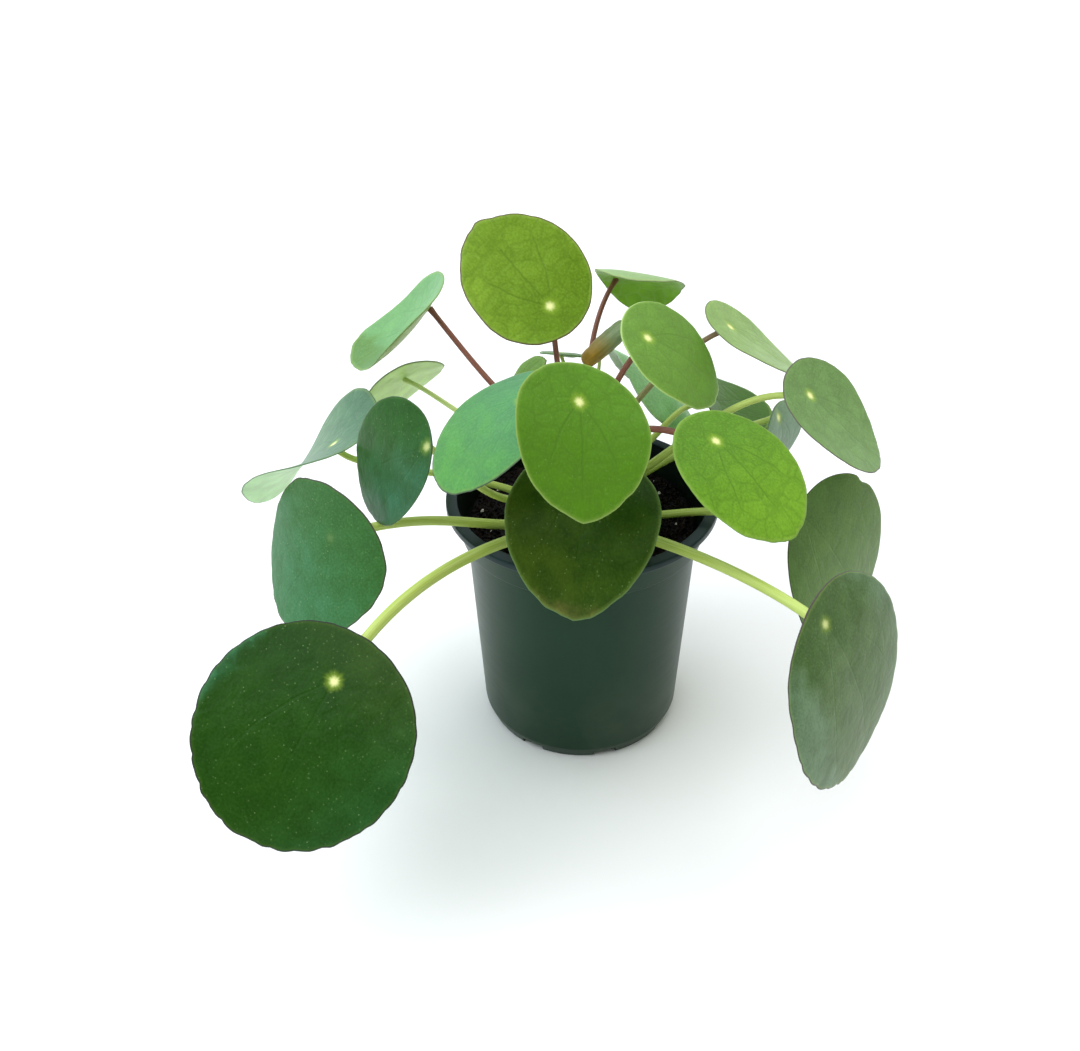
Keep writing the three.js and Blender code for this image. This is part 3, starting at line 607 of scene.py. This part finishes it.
# on_leaf: millimetres towards the tip and across from the dot, and the share of the way to the margin
mm_along = add(blades, MATH, [along, 1 / MM], "MULTIPLY")
mm_across = add(blades, MATH, [across, 1 / MM], "MULTIPLY")
in_mm = add(blades, JOIN, [mm_along, mm_across, share])
marked = add(blades, STORE, {0: sheet, "Name": "on_leaf", "Value": in_mm}, "FLOAT_VECTOR")
rim = chain(blades, MATH, share, ("POWER", 24.0), ("MULTIPLY_ADD", -1.0, 1.0), ("MAXIMUM", 0.0), ("SQRT",))
marked = add(blades, STORE, {0: marked, "Name": "depth", "Value": rim}, "FLOAT")
bent = add(blades, "GeometryNodeSetPosition", {"Geometry": marked, "Position": spot})
bent = add(blades, "GeometryNodeMergeByDistance", {"Geometry": bent, "Distance": 0.002 * MM})
depth = add(blades, "GeometryNodeInputNamedAttribute", ["depth"], "FLOAT")
half = chain(blades, MATH, depth, ("MULTIPLY", given["Thickness"]), ("MULTIPLY", 0.5))
normal = add(blades, "GeometryNodeInputNormal")
rise = add(blades, VECTORS, [normal, half], "SCALE")
sink = add(blades, VECTORS, [rise, -1.0], "SCALE")
faces = []
for offset, is_upper in ((sink, 0.0), (rise, 1.0)):
    face = add(blades, "GeometryNodeSetPosition", {"Geometry": bent, "Offset": offset})
    faces.append(add(blades, STORE, {0: face, "Name": "upper", "Value": is_upper}, "FLOAT"))
lower = add(blades, "GeometryNodeFlipFaces", [faces[0]])
both = add(blades, "GeometryNodeJoinGeometry", [lower])
feed(blades, both, {0: faces[1]})
closed = add(blades, "GeometryNodeMergeByDistance", {"Geometry": both, "Distance": 0.002 * MM})
smooth = add(blades, "GeometryNodeSetShadeSmooth", {0: closed, 2: True})
send_out(blades, result, smooth, given["Finish"])


def course_of(tree, fineness, ends, steps):
    """A curve steered by four points, in even steps that know their share of the way, and that share."""
    path = add(tree, "GeometryNodeCurvePrimitiveBezierSegment", [fineness, *ends], mode="POSITION")
    path = add(tree, "GeometryNodeResampleCurve", {"Curve": path, "Count": steps})
    factor = add(tree, "GeometryNodeSplineParameter")
    return add(tree, STORE, {0: path, "Name": "way_up", "Value": factor}, "FLOAT"), factor


def section_of(tree, sides, radius):
    """A circle that knows its share of the way round, for the section of a tube, and that share."""
    ring = add(tree, "GeometryNodeCurvePrimitiveCircle", [sides, radius])
    around = add(tree, "GeometryNodeSplineParameter")
    return add(tree, STORE, {0: ring, "Name": "around", "Value": around}, "FLOAT"), around


stalks, given, result = new_tree("leaf stalk", {
    "Vector": ["Foot", "After foot", "Before head", "Head"],
    "Float": ["Foot thickness", "Head thickness"], "Material": ["Finish"]})
ends = [given[label] for label in ("Foot", "After foot", "Before head", "Head")]
path, factor = course_of(stalks, 60, ends, 56)
eased = add(stalks, MATH, [factor, 0.7], "POWER")
taper = add(stalks, RANGE, [eased, 0.0, 1.0, given["Foot thickness"], given["Head thickness"]])
foot_flare = add(stalks, RANGE, [factor, 0.0, 0.07, 1.3, 1.0], "SMOOTHSTEP")
head_flare = add(stalks, RANGE, [factor, 0.95, 1.0, 1.0, 1.25], "SMOOTHSTEP")
flare = add(stalks, MATH, [foot_flare, head_flare], "MULTIPLY")
radius = add(stalks, MATH, [taper, flare], "MULTIPLY")
section, around = section_of(stalks, 16, 0.5)
tube = add(stalks, "GeometryNodeCurveToMesh", [path, section, radius, True])
smooth = add(stalks, "GeometryNodeSetShadeSmooth", {0: tube, 2: True})
send_out(stalks, result, smooth, given["Finish"])


def streaks_of(tree, round_it, along_it):
    """The shares of the way up and round a tube, and streaks with so many turns round and along it."""
    way_up = add(tree, "ShaderNodeAttribute", attribute_name="way_up").outputs["Fac"]
    around = add(tree, "ShaderNodeAttribute", attribute_name="around").outputs["Fac"]
    wide = add(tree, MATH, [around, round_it], "MULTIPLY")
    tall = add(tree, MATH, [way_up, along_it], "MULTIPLY")
    on_tube = add(tree, JOIN, [wide, tall])
    return way_up, around, add(tree, NOISE, [on_tube, 1.0, 3.0])


def stalk_finish(name, foot, head, streak):
    """The skin of a leaf stalk: smooth and watery, with fine pale lengthways streaks and a gloss that varies in fine
    pores.
    """
    made, tree, shader = finish_of(name, {"IOR": 1.42, "Specular IOR Level": 0.35})
    place = add(tree, "ShaderNodeTexCoord").outputs["Object"]
    way_up, around, streaks = streaks_of(tree, 22.0, 5.0)
    # The colour runs from the foot to the head. On the green and pale stalks the darker foot is partly their own
    # colour and partly painted shade near the stem.
    base = add(tree, MIX, [way_up, foot, head], "RGBA")
    strong = add(tree, RANGE, [streaks, 0.4, 0.75, 0.0, 0.55])
    skin = add(tree, MIX, [strong, base, streak], "RGBA")
    pores = add(tree, NOISE, [place, 900.0, 2.0])
    gloss = add(tree, RANGE, [pores, 0.3, 0.7, 0.34, 0.5])
    dress(tree, shader, skin, gloss, 0.3, 0.2, streaks)
    return made


stalk_finishes = {
    # green and pale: the darker foot colour is partly painted shade near the stem
    "green": stalk_finish("green watery stalk", "#8aa02e", "#b4c860", "#d0dc90"),
    "pale": stalk_finish("pale green watery stalk", "#a8bc58", "#c2d684", "#dce6a8"),
    "maroon": stalk_finish("maroon stalk", "#74422e", "#7a483a", "#a07462"),
    "blushed": stalk_finish("green stalk with a brown blush", "#98a256", "#74483c", "#b0a484")}


def stalk_course(leaf):
    """The four points that steer the leaf's stalk, in millimetres."""
    hub, out, _ = held_at(leaf)
    height, turn = leaf["foot"]
    rise, land = leaf["slope"]
    early, late = leaf.get("reach", PLAIN_REACH)
    off = stem_radius(height) + STALK_GAP + leaf["stalk"][0] / 2 * math.sin(math.radians(rise))
    foot = way(turn, 0) * off + STEM_PLACE + Vector((0, 0, height))
    chord = hub - foot
    course = math.degrees(math.atan2(chord.y, chord.x))
    arrival = way(course + leaf.get("veer", 0), land)
    slant = math.sqrt(1 - arrival.dot(out) ** 2)
    head = hub - out * (BLADE / 2 + STALK_GAP + leaf["stalk"][1] / 2 * slant)
    return foot, foot + way(turn, rise) * early * chord.length, head - arrival * late * chord.length, head


# Veins, dot and margin: where they lie on every blade, worked out from its place on the leaf.
marks = bpy.data.node_groups.new("leaf marks", "ShaderNodeTree")
on_leaf = add(marks, "ShaderNodeAttribute", attribute_name="on_leaf").outputs["Vector"]
coords = add(marks, SPLIT, [on_leaf]).outputs
flat_place = add(marks, JOIN, [coords[0], coords[1]])
from_dot = add(marks, VECTORS, [flat_place], "LENGTH")
# crooked: the place on the leaf with a wander that grows towards the margin, so that no vein runs straight
bend = add(marks, NOISE, [flat_place, 0.12, 2.0]).outputs[1]
wander = chain(marks, VECTORS, bend, ("SUBTRACT", (0.5, 0.5, 0.5)), ("SCALE", 4.0), ("SCALE", coords[2]),
               ("ADD", flat_place))
crooked = add(marks, SPLIT, [wander]).outputs
# the veins: a midrib and three pairs, each at its own angle from the tip, that curve towards it
angle = chain(marks, MATH, crooked[1], ("ABSOLUTE",), ("ARCTAN2", crooked[0]))
veins_at = []
for start, pull in ((0.0, 0.0), (0.75, 0.36), (1.55, 0.6), (2.6, 0.2)):
    pulled = add(marks, MATH, [coords[2], pull], "MULTIPLY")
    goal = add(marks, MATH, [start, pulled], "SUBTRACT")
    veins_at.append(chain(marks, MATH, angle, ("SUBTRACT", goal), ("ABSOLUTE",), ("MULTIPLY", from_dot)))
main_pair = add(marks, MATH, [veins_at[0], veins_at[1]], "MINIMUM")
minor_pair = add(marks, MATH, [veins_at[2], veins_at[3]], "MINIMUM")
main_veins = add(marks, RANGE, [main_pair, 0.05, 0.75, 1.0, 0.0], "SMOOTHSTEP")
minor_veins = add(marks, RANGE, [minor_pair, 0.05, 0.6, 0.5, 0.0], "SMOOTHSTEP")
minor_end = add(marks, RANGE, [coords[2], 0.4, 0.8, 1.0, 0.0], "SMOOTHSTEP")
vein_end = add(marks, RANGE, [coords[2], 0.6, 0.97, 1.0, 0.0], "SMOOTHSTEP")
vein_start = add(marks, RANGE, [from_dot, 0.5, 5.0, 0.35, 1.0], "SMOOTHSTEP")
veins = chain(marks, MATH, minor_veins, ("MULTIPLY", minor_end), ("MAXIMUM", main_veins),
              ("MULTIPLY", vein_end), ("MULTIPLY", vein_start))
# the network: two sizes of cells between the veins, with pillows of flesh in them
cells = add(marks, "ShaderNodeTexVoronoi", {"Vector": wander, "Scale": 0.15}, feature="DISTANCE_TO_EDGE")
network = add(marks, RANGE, [cells, 0.0, 0.12, 1.0, 0.0], "SMOOTHSTEP")
pillow = add(marks, RANGE, [cells, 0.0, 0.3, 0.0, 1.0], "SMOOTHSTEP")
fine_cells = add(marks, "ShaderNodeTexVoronoi", {"Vector": wander, "Scale": 0.4}, feature="DISTANCE_TO_EDGE")
fine = add(marks, RANGE, [fine_cells, 0.0, 0.15, 0.4, 0.0], "SMOOTHSTEP")
network = add(marks, MATH, [network, fine], "MAXIMUM")
fine = add(marks, RANGE, [fine_cells, 0.0, 0.3, 0.0, 0.3], "SMOOTHSTEP")
pillow = add(marks, MATH, [pillow, fine], "ADD")
# the dot and its ragged halo
direction = add(marks, VECTORS, [flat_place], "NORMALIZE")
rays = add(marks, NOISE, [direction, 2.6, 1.0])
ragged_far = chain(marks, MATH, rays, ("MULTIPLY", 0.7), ("ADD", 0.65), ("MULTIPLY", from_dot))
dot = add(marks, RANGE, [ragged_far, 0.4, 2.4, 0.95, 0.0], "SMOOTHSTEP")
halo = add(marks, RANGE, [ragged_far, 0.8, 4.4, 0.6, 0.0], "SMOOTHSTEP")
# the margin and the pale border inside it, by the millimetres that are left to the edge
safe_share = add(marks, MATH, [coords[2], 0.05], "MAXIMUM")
to_edge = add(marks, MATH, [1.0, coords[2]], "SUBTRACT")
to_edge = chain(marks, MATH, to_edge, ("DIVIDE", safe_share), ("MULTIPLY", from_dot))
margin = add(marks, RANGE, [to_edge, 0.2, 0.75, 1.0, 0.0], "SMOOTHSTEP")
border = add(marks, RANGE, [to_edge, 0.4, 1.9, 1.0, 0.0], "SMOOTHSTEP")
# pale flecks and finer dust: a spot in some of the cells
spotted = []
for scale, core, rim, shown, first, last in (
        (0.42, 0.04, 0.13, 1.0, 0.55, 0.98), (0.8, 0.1, 0.3, 0.45, 0.6, 0.95)):
    spots = add(marks, "ShaderNodeTexVoronoi", {"Vector": flat_place, "Scale": scale})
    chosen = add(marks, "ShaderNodeSeparateColor", [spots.outputs[1]])
    spot = add(marks, RANGE, [spots, core, rim, shown, 0.0], "SMOOTHSTEP")
    chosen = add(marks, RANGE, [chosen, first, last, 0.0, 1.0], "SMOOTHSTEP")
    spotted.append(add(marks, MATH, [spot, chosen], "MULTIPLY"))
flecks = add(marks, MATH, spotted, "MAXIMUM")
clouds = add(marks, NOISE, [flat_place, 0.1, 5.0])
grain = add(marks, NOISE, [flat_place, 1.1, 5.0])
shifted = chain(marks, MATH, clouds, ("SUBTRACT", 0.5), ("MULTIPLY", 40.0), ("ADD", coords[0]))
tipward = add(marks, RANGE, [shifted, -8.0, 28.0, 0.0, 1.0], "SMOOTHSTEP")
found_marks = {
    "Dot": dot, "Halo": halo, "Veins": veins, "Network": network, "Pillow": pillow, "Margin": margin,
    "Border": border, "Flecks": flecks, "Clouds": clouds, "Grain": grain, "Tipward": tipward,
    "Upper": add(marks, "ShaderNodeAttribute", attribute_name="upper").outputs["Fac"]}
for label in found_marks:
    marks.interface.new_socket(label, in_out="OUTPUT", socket_type="NodeSocketFloat")
add(marks, "NodeGroupOutput", found_marks)


def leaf_finish(name, near, far, edge, under="#9fc088", veins=0.4, flecks=0.3, level=0.2,
                band="#a4bc5c", banded=0.3, dotted=1.0, mottled=0.35, tints_and_painted_light=()):
    """The skin of a leaf: waxy, with sunk veins, a pale dot, a thin coloured margin and a pale underside.

    Each tint is a turn from the tip, where it begins and is full in mm from the dot, a colour and its share. Some
    tints are the leaf's own colour and some are painted sheen, highlight or shade where the blade curves.
    """
    made, tree, shader = finish_of(name, {"IOR": 1.43, "Specular IOR Level": level})
    seen = add(tree, "ShaderNodeGroup", node_tree=marks).outputs
    deep = [0.62 * part for part in linear(near)[:3]] + [1]
    light = [min(1.5 * part + 0.01, 1) for part in linear(far)[:3]] + [1]
    shaded = [0.8 * part for part in linear(under)[:3]] + [1]
    place = add(tree, "ShaderNodeAttribute", attribute_name="on_leaf").outputs["Vector"]
    # covers: what lies on the plain skin, from the first to the last: where, and its colour
    covers = []
    # the tints: patches of the leaf's own colour, and patches of painted sheen, highlight and shade where the blade
    # curves
    for turn, begin, full, colour, share_of in tints_and_painted_light:
        aside = (math.cos(math.radians(turn)), math.sin(math.radians(turn)), 0.0)
        reach = add(tree, VECTORS, [place, aside], "DOT_PRODUCT")
        cloudy = add(tree, MATH, [seen["Clouds"], 16.0, reach], "MULTIPLY_ADD")
        tint = add(tree, RANGE, [cloudy, begin + 8.0, full + 8.0, 0.0, share_of], "SMOOTHSTEP")
        covers.append((tint, colour))
    netting = add(tree, MATH, [seen["Network"], 0.08 + 0.45 * veins], "MULTIPLY")
    strength = chain(tree, MATH, seen["Veins"], ("MULTIPLY", veins), ("MAXIMUM", netting))
    covers += [
        (add(tree, RANGE, [seen["Clouds"], 0.38, 0.6, mottled, 0.0]), deep),
        (add(tree, RANGE, [seen["Grain"], 0.36, 0.5, 0.24, 0.0]), deep),
        (add(tree, RANGE, [seen["Grain"], 0.48, 0.66, 0.0, 0.2]), light),
        (add(tree, MATH, [seen["Border"], banded], "MULTIPLY"), band),
        (strength, deep),
        (add(tree, MATH, [seen["Flecks"], flecks], "MULTIPLY"), "#98b274"),
        (add(tree, MATH, [seen["Halo"], dotted], "MULTIPLY"), "#9cba3c"),
        (add(tree, MATH, [seen["Dot"], dotted], "MULTIPLY"), "#f3f5a8")]
    # the colour by the dot turns to the colour by the tip: partly the leaf's own colour, partly painted shade and
    # sheen across the blade
    skin = add(tree, MIX, [seen["Tipward"], near, far], "RGBA")
    for where, colour in covers:
        skin = add(tree, MIX, [where, skin, colour], "RGBA")
    thin = add(tree, RANGE, {0: seen["Clouds"], 1: 0.38, 2: 0.62})
    back = add(tree, MIX, [thin, shaded, under], "RGBA")
    pale_vein = add(tree, MATH, [strength, 0.6], "MULTIPLY")
    back = add(tree, MIX, [pale_vein, back, "#d4e4b8"], "RGBA")
    faces = add(tree, MIX, [seen["Upper"], back, skin], "RGBA")
    rimmed = add(tree, MATH, [seen["Margin"], 0.9], "MULTIPLY")
    skin = add(tree, MIX, [rimmed, faces, edge], "RGBA")
    gloss = add(tree, RANGE, [seen["Grain"], 0.3, 0.7, 0.34, 0.46])
    sunk = add(tree, MATH, [seen["Veins"], -0.8], "MULTIPLY")
    surface = add(tree, MATH, [seen["Pillow"], sunk], "ADD")
    dress(tree, shader, skin, gloss, 0.5, 0.18, surface)
    return made


# name: kind, upper side by the dot and by the tip, margin; then the looks that only some leaves need
# The pale bluish upper colours of the leaves seen at a slant partly hold a painted sheen of window light.
LEAF_LOOKS = {
    "top_front": ("young", "#668a1e", "#76992a", "#5c4436", dict(
        veins=0.5, level=0.13, mottled=0.22, tints_and_painted_light=((90, 6, 24, "#88ac32", 0.6),))),
    "centre": ("young", "#5c8c26", "#4f7d18", "#86a450", dict(veins=0.6, level=0.13, banded=0.2)),
    # upper_left: its olive tint is painted shade on the lobe that droops away from the light.
    "upper_left": ("young", "#76ae6e", "#72a664", "#7c9c60", dict(
        under="#9cb85c", level=0.22, tints_and_painted_light=((50, 17, 26, "#587a2c", 0.9),))),
    # left_back: its very bright underside colour is painted light shining through the blade.
    "left_back": ("mature", "#7ea860", "#6c9850", "#7c8c5c", dict(under="#d4f89c", banded=0.1)),
    "far_left": ("mature", "#567e5d", "#638862", "#5f7f5c", dict(under="#c4f0b0", level=0.2)),
    # left_dark: its bluish tint is a painted sheen where the blade curves.
    "left_dark": ("mature", "#2a561e", "#2c5a20", "#3c5a40", dict(
        flecks=0.4, level=0.15, veins=0.08, banded=0.05, dotted=0.45, mottled=0.5,
        tints_and_painted_light=((80, -8, 22, "#35684c", 0.9),))),
    "left_of_centre": ("mature", "#548f5c", "#55914e", "#4c5a48", dict(
        level=0.2, veins=0.12, banded=0.15, tints_and_painted_light=((0, 10, 40, "#5c9c3c", 0.5),))),
    "left_low": ("old", "#3c6e34", "#40764a", "#4a3c40", dict(
        flecks=0.5, level=0.18, veins=0.1, banded=0.05, dotted=0.05)),
    # front_left_low: the olive-brown tint is its own colour; the teal tint at the rim and the bluish one at the side
    # are painted reflections of the window.
    "front_left_low": ("old", "#1e440a", "#254c10", "#2e2a30", dict(
        flecks=0.45, veins=0.04, level=0.1, banded=0.05,
        tints_and_painted_light=((150, -10, 20, "#3a5218", 0.5), (-100, 27, 37, "#3f8a60", 0.85),
               (70, 12, 50, "#2c5e30", 0.6)))),
    "front_low": ("old", "#284808", "#365210", "#5f7c44", dict(
        flecks=0.5, veins=0.15, level=0.1, banded=0.15, dotted=0.0, mottled=0.55,
        tints_and_painted_light=((-60, 4, 30, "#45560f", 0.5), (-8, 38, 44, "#6e6636", 0.5)))),
    # front_right_low: the pale grey tint is a painted highlight along its fold, and the bluish one a painted sheen.
    "front_right_low": ("old", "#45622f", "#587440", "#4a3c44", dict(
        flecks=0.35, veins=0.05, banded=0.2, dotted=0.6,
        tints_and_painted_light=((-90, 16, 28, "#7c9a80", 0.45), (110, 14, 30, "#6a8a70", 0.4)))),
    "right_low": ("old", "#5c7c40", "#5e7e3a", "#4a3c40", dict(
        flecks=0.3, veins=0.12, banded=0.1, dotted=0.0)),
    "right_front": ("young", "#5a8824", "#6a9826", "#7ca444", dict(
        veins=0.5, level=0.1, mottled=0.12, tints_and_painted_light=((0, 14, 40, "#7caa2e", 0.6),))),
    "upper_right": ("young", "#6a9438", "#648f32", "#a8c878", dict(veins=0.4, level=0.13, banded=0.2)),
    "right_back_high": ("mature", "#88ac5c", "#92b26c", "#6c7a50", dict(level=0.25)),
    "right_high": ("mature", "#6c9050", "#729656", "#5c5650", dict(flecks=0.4, level=0.2, banded=0.1)),
    "top_back": ("young", "#9cba80", "#90b070", "#7c8c5c", dict(under="#8cc03c", veins=0.15)),
    "right_behind": ("mature", "#7a9a78", "#6e8e70", "#6a8468", dict(level=0.3)),
    "back_right": ("old", "#426c1e", "#3c6418", "#4c6c34", dict(flecks=0.3, dotted=0.0)),
    "back_middle": ("mature", "#8cc080", "#94c888", "#9cb89c", dict(level=0.25, veins=0.2)),
    "small_behind": ("young", "#6f9440", "#6a8e3c", "#5c6c44", {}),
    "small_back": ("young", "#4c7838", "#426c30", "#6c8c60", {})}

for number, (name, leaf) in enumerate(LEAVES.items()):
    hub, out, tip = held_at(leaf)
    kind, near, far, edge, more = LEAF_LOOKS[name]
    waves, wave_size, wave_start = leaf.get("wave", (0, 0, 0))
    scallops = leaf.get("scallops", 0)
    sectors = 6 * scallops + 1 if scallops else PLAIN_SECTORS
    blade = shaped("leaf_" + name, blades, {
        "Hub": hub * MM, "Out": out, "Tip": tip, "Half length": leaf["size"][0] / 2 * MM,
        "Half width": leaf["size"][1] / 2 * MM, "Dot": leaf["dot"], "Droop along": leaf["droop"][0] * MM,
        "Droop across": leaf["droop"][1] * MM, "Twist": leaf["twist"] * MM,
        "Point": leaf.get("point", 0) * MM, "Scallops": scallops, "Notch": leaf.get("notch", 0) * MM,
        "Waves": waves, "Wave size": wave_size * MM, "Wave start": math.radians(wave_start),
        "Fold": leaf.get("fold", 0.6) * MM, "Dent": leaf.get("dent", (0, 0))[0] * MM,
        "Dent turn": math.radians(leaf.get("dent", (0, 0))[1]),
        "Thickness": BLADE * MM, "Unevenness": 1.1 * MM, "Sectors": sectors,
        "Seed": 1.0 + number, "Finish": leaf_finish("leaf skin " + name, near, far, edge, **more)})
    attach(blade, "root")
    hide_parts("blade_" + name)
    foot, after_foot, before_head, head = stalk_course(leaf)
    sunk_foot = foot - (after_foot - foot).normalized() * 1.0
    stalk = shaped("petiole_" + name, stalks, {
        "Foot": sunk_foot * MM, "After foot": after_foot * MM, "Before head": before_head * MM,
        "Head": (head + out * 0.4) * MM, "Foot thickness": leaf["stalk"][0] * MM,
        "Head thickness": leaf["stalk"][1] * MM, "Finish": stalk_finishes[leaf.get("tone", "green")]})
    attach(stalk, "root")
    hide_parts("stalk_" + name)


# The youngest leaf: still rolled lengthways into a blunt tube over the growing tip, one margin
# lapped over the other. It stands on a short stalk of its own and its end is still ochre.

roll, given, result = new_tree("rolled leaf", {
    "Vector": ["Base", "After base", "Before tip", "Tip"],
    "Float": ["Radius", "Taper", "Lap", "Lap turn"], "Material": ["Finish"]})
ends = [given[label] for label in ("Base", "After base", "Before tip", "Tip")]
path, factor = course_of(roll, 40, ends, 90)
radius = chain(roll, MATH, factor, ("MULTIPLY_ADD", 2.0, -1.0), ("POWER", 2.0), ("MULTIPLY", given["Taper"]),
               ("MULTIPLY_ADD", -1.0, 1.0))
for begin, full, smallest in ((0.0, 0.06, 0.5), (1.0, 0.85, 0.1)):
    blunt = add(roll, RANGE, {0: factor, 1: begin, 2: full})
    blunt = add(roll, MATH, [blunt, 0.45], "POWER")
    blunt = add(roll, RANGE, {0: blunt, 3: smallest, 4: 1.0})
    radius = add(roll, MATH, [radius, blunt], "MULTIPLY")
radius = add(roll, MATH, [radius, given["Radius"]], "MULTIPLY")
section, around = section_of(roll, 64, 1.0)
inmost = add(roll, MATH, [1.0, given["Lap"]], "SUBTRACT")
spiral = add(roll, RANGE, {0: around, 3: inmost, 4: 1.0})
spot = add(roll, "GeometryNodeInputPosition")
wound = add(roll, VECTORS, [spot, spiral], "SCALE")
section = add(roll, "GeometryNodeSetPosition", {"Geometry": section, "Position": wound})
turn = add(roll, JOIN, {2: given["Lap turn"]})
section = add(roll, "GeometryNodeTransform", {0: section, "Rotation": turn})
tube = add(roll, "GeometryNodeCurveToMesh", [path, section, radius, True])
lumps = add(roll, NOISE, [spot, 260.0, 1.0])
lumps = add(roll, RANGE, {0: lumps, 3: -0.3 * MM, 4: 0.3 * MM})
normal = add(roll, "GeometryNodeInputNormal")
pushed = add(roll, VECTORS, [normal, lumps], "SCALE")
tube = add(roll, "GeometryNodeSetPosition", {"Geometry": tube, "Offset": pushed})
send_out(roll, result, creased(roll, tube, 40), given["Finish"])

# Young leaf skin: greyed by its bloom on the outer lap, plain green where it turns under, and
# ochre at the blunt end, with the fine lengthways ridges of the folded veins.
bud_skin, tree, shader = finish_of("rolled leaf skin", {"IOR": 1.43, "Specular IOR Level": 0.25})
way_up, around, ridges = streaks_of(tree, 26.0, 3.0)
wrapped = add(tree, "ShaderNodeValToRGB", [around])
wrapped.color_ramp.elements[0].color = linear("#46581a")
wrapped.color_ramp.elements[1].color = linear("#7c8c48")
wrapped.color_ramp.elements.new(0.45).color = linear("#5c6a28")
wrapped.color_ramp.elements.new(0.7).color = linear("#8ea27c")
unripe = add(tree, RANGE, [way_up, 0.05, 0.62, 1.0, 0.0], "SMOOTHSTEP")
skin = add(tree, MIX, [unripe, wrapped, "#a8842e"], "RGBA")
furrow = add(tree, RANGE, [ridges, 0.35, 0.65, 0.35, 0.0])
skin = add(tree, MIX, [furrow, skin, "#34481c"], "RGBA")
gloss = add(tree, RANGE, {0: ridges, 3: 0.36, 4: 0.55})
dress(tree, shader, skin, gloss, 0.5, 0.2, ridges)

ROLL_RADIUS = 4.1
ROLL_PLACES = [Vector(place) for place in ((0, -13, 178.5), (6, -6, 180.5), (12, 2, 182.5), (18, 9, 184.5))]
bud = shaped("rolled_leaf", roll, {
    "Base": ROLL_PLACES[0] * MM, "After base": ROLL_PLACES[1] * MM, "Before tip": ROLL_PLACES[2] * MM,
    "Tip": ROLL_PLACES[3] * MM, "Radius": ROLL_RADIUS * MM, "Taper": 0.25, "Lap": 0.2,
    "Lap turn": math.radians(60), "Finish": bud_skin})
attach(bud, "root")
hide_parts("blade_rolled")
foot = STEM_PLACE + Vector((0, 0, STEM_TOP - 0.4))
head = ROLL_PLACES[1] - Vector((0, 0, ROLL_RADIUS - 0.5))
climb = Vector((0, 0, 8))
bud_stalk = shaped("rolled_leaf_petiole", stalks, {
    "Foot": foot * MM, "After foot": (foot + climb) * MM, "Before head": (head - climb) * MM,
    "Head": head * MM, "Foot thickness": 1.6 * MM, "Head thickness": 1.3 * MM,
    "Finish": stalk_finishes["green"]})
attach(bud_stalk, "root")
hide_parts("stalk_rolled")


# Light: a room with a wide window on the left, a paler wall on the right and a dim side
# behind the photographer, and two very soft lights from above that keep the table white.

sky = bpy.data.worlds.new("room light")
sky.use_nodes = True
tree = sky.node_tree
toward = add(tree, "ShaderNodeTexCoord").outputs["Generated"]
total = (0.2, 0.2, 0.2)
for heading, first, full, glow in (
        ((-0.93, 0.2, 0.3), 0.25, 0.95, "#dfeeff"), ((0.95, 0.2, 0.22), 0.35, 0.95, "#b9b3a8"),
        ((0.0, 0.6, 0.8), 0.2, 1.0, "#aab4ba")):
    facing = add(tree, VECTORS, [toward, heading], "DOT_PRODUCT")
    lit = add(tree, RANGE, {0: facing, 1: first, 2: full}, "SMOOTHSTEP")
    total = add(tree, VECTORS, [lit, linear(glow)[:3], total], "MULTIPLY_ADD")
feed(tree, tree.nodes["Background"], {0: total})
bpy.context.scene.world = sky
for name, towards, power, spread, tint in (
        ("window", (-0.5, -0.45, 1.0), 1.7, 45, "#f6faff"),
        ("ceiling", (0.15, 0.35, 1.0), 1.3, 70, "#ffffff")):
    lamp = bpy.data.lights.new(name, "SUN")
    lamp.energy = power
    lamp.angle = math.radians(spread)
    lamp.color = linear(tint)[:3]
    holder = placed(name, lamp)
    holder.rotation_euler = Vector(towards).to_track_quat("Z", "Y").to_euler()


# Camera: where the photographer stood, a little left of the pot's middle, looking 34 degrees
# down from about 40 cm away.

PHOTO_WIDTH = 1080
FOCAL_PIXELS = 1180
SENSOR_WIDTH = 36

stand = Vector((-0.01775, -0.4153, 0.3784))
pitch = math.radians(34.30)
roll = math.radians(-0.79)
level_right = Vector((1, 0, 0))
ahead = Vector((0, math.cos(pitch), -math.sin(pitch)))
level_up = Vector((0, math.sin(pitch), math.cos(pitch)))
right = level_right * math.cos(roll) + level_up * math.sin(roll)
upright = level_up * math.cos(roll) - level_right * math.sin(roll)
lens = bpy.data.cameras.new("camera")
lens.sensor_width = SENSOR_WIDTH
lens.lens = SENSOR_WIDTH * FOCAL_PIXELS / PHOTO_WIDTH
camera = placed("camera", lens)
camera.matrix_world = Matrix((
    (right.x, upright.x, -ahead.x, stand.x), (right.y, upright.y, -ahead.y, stand.y),
    (right.z, upright.z, -ahead.z, stand.z), (0, 0, 0, 1)))
bpy.context.scene.camera = camera
bpy.context.scene.view_settings.view_transform = "Standard"
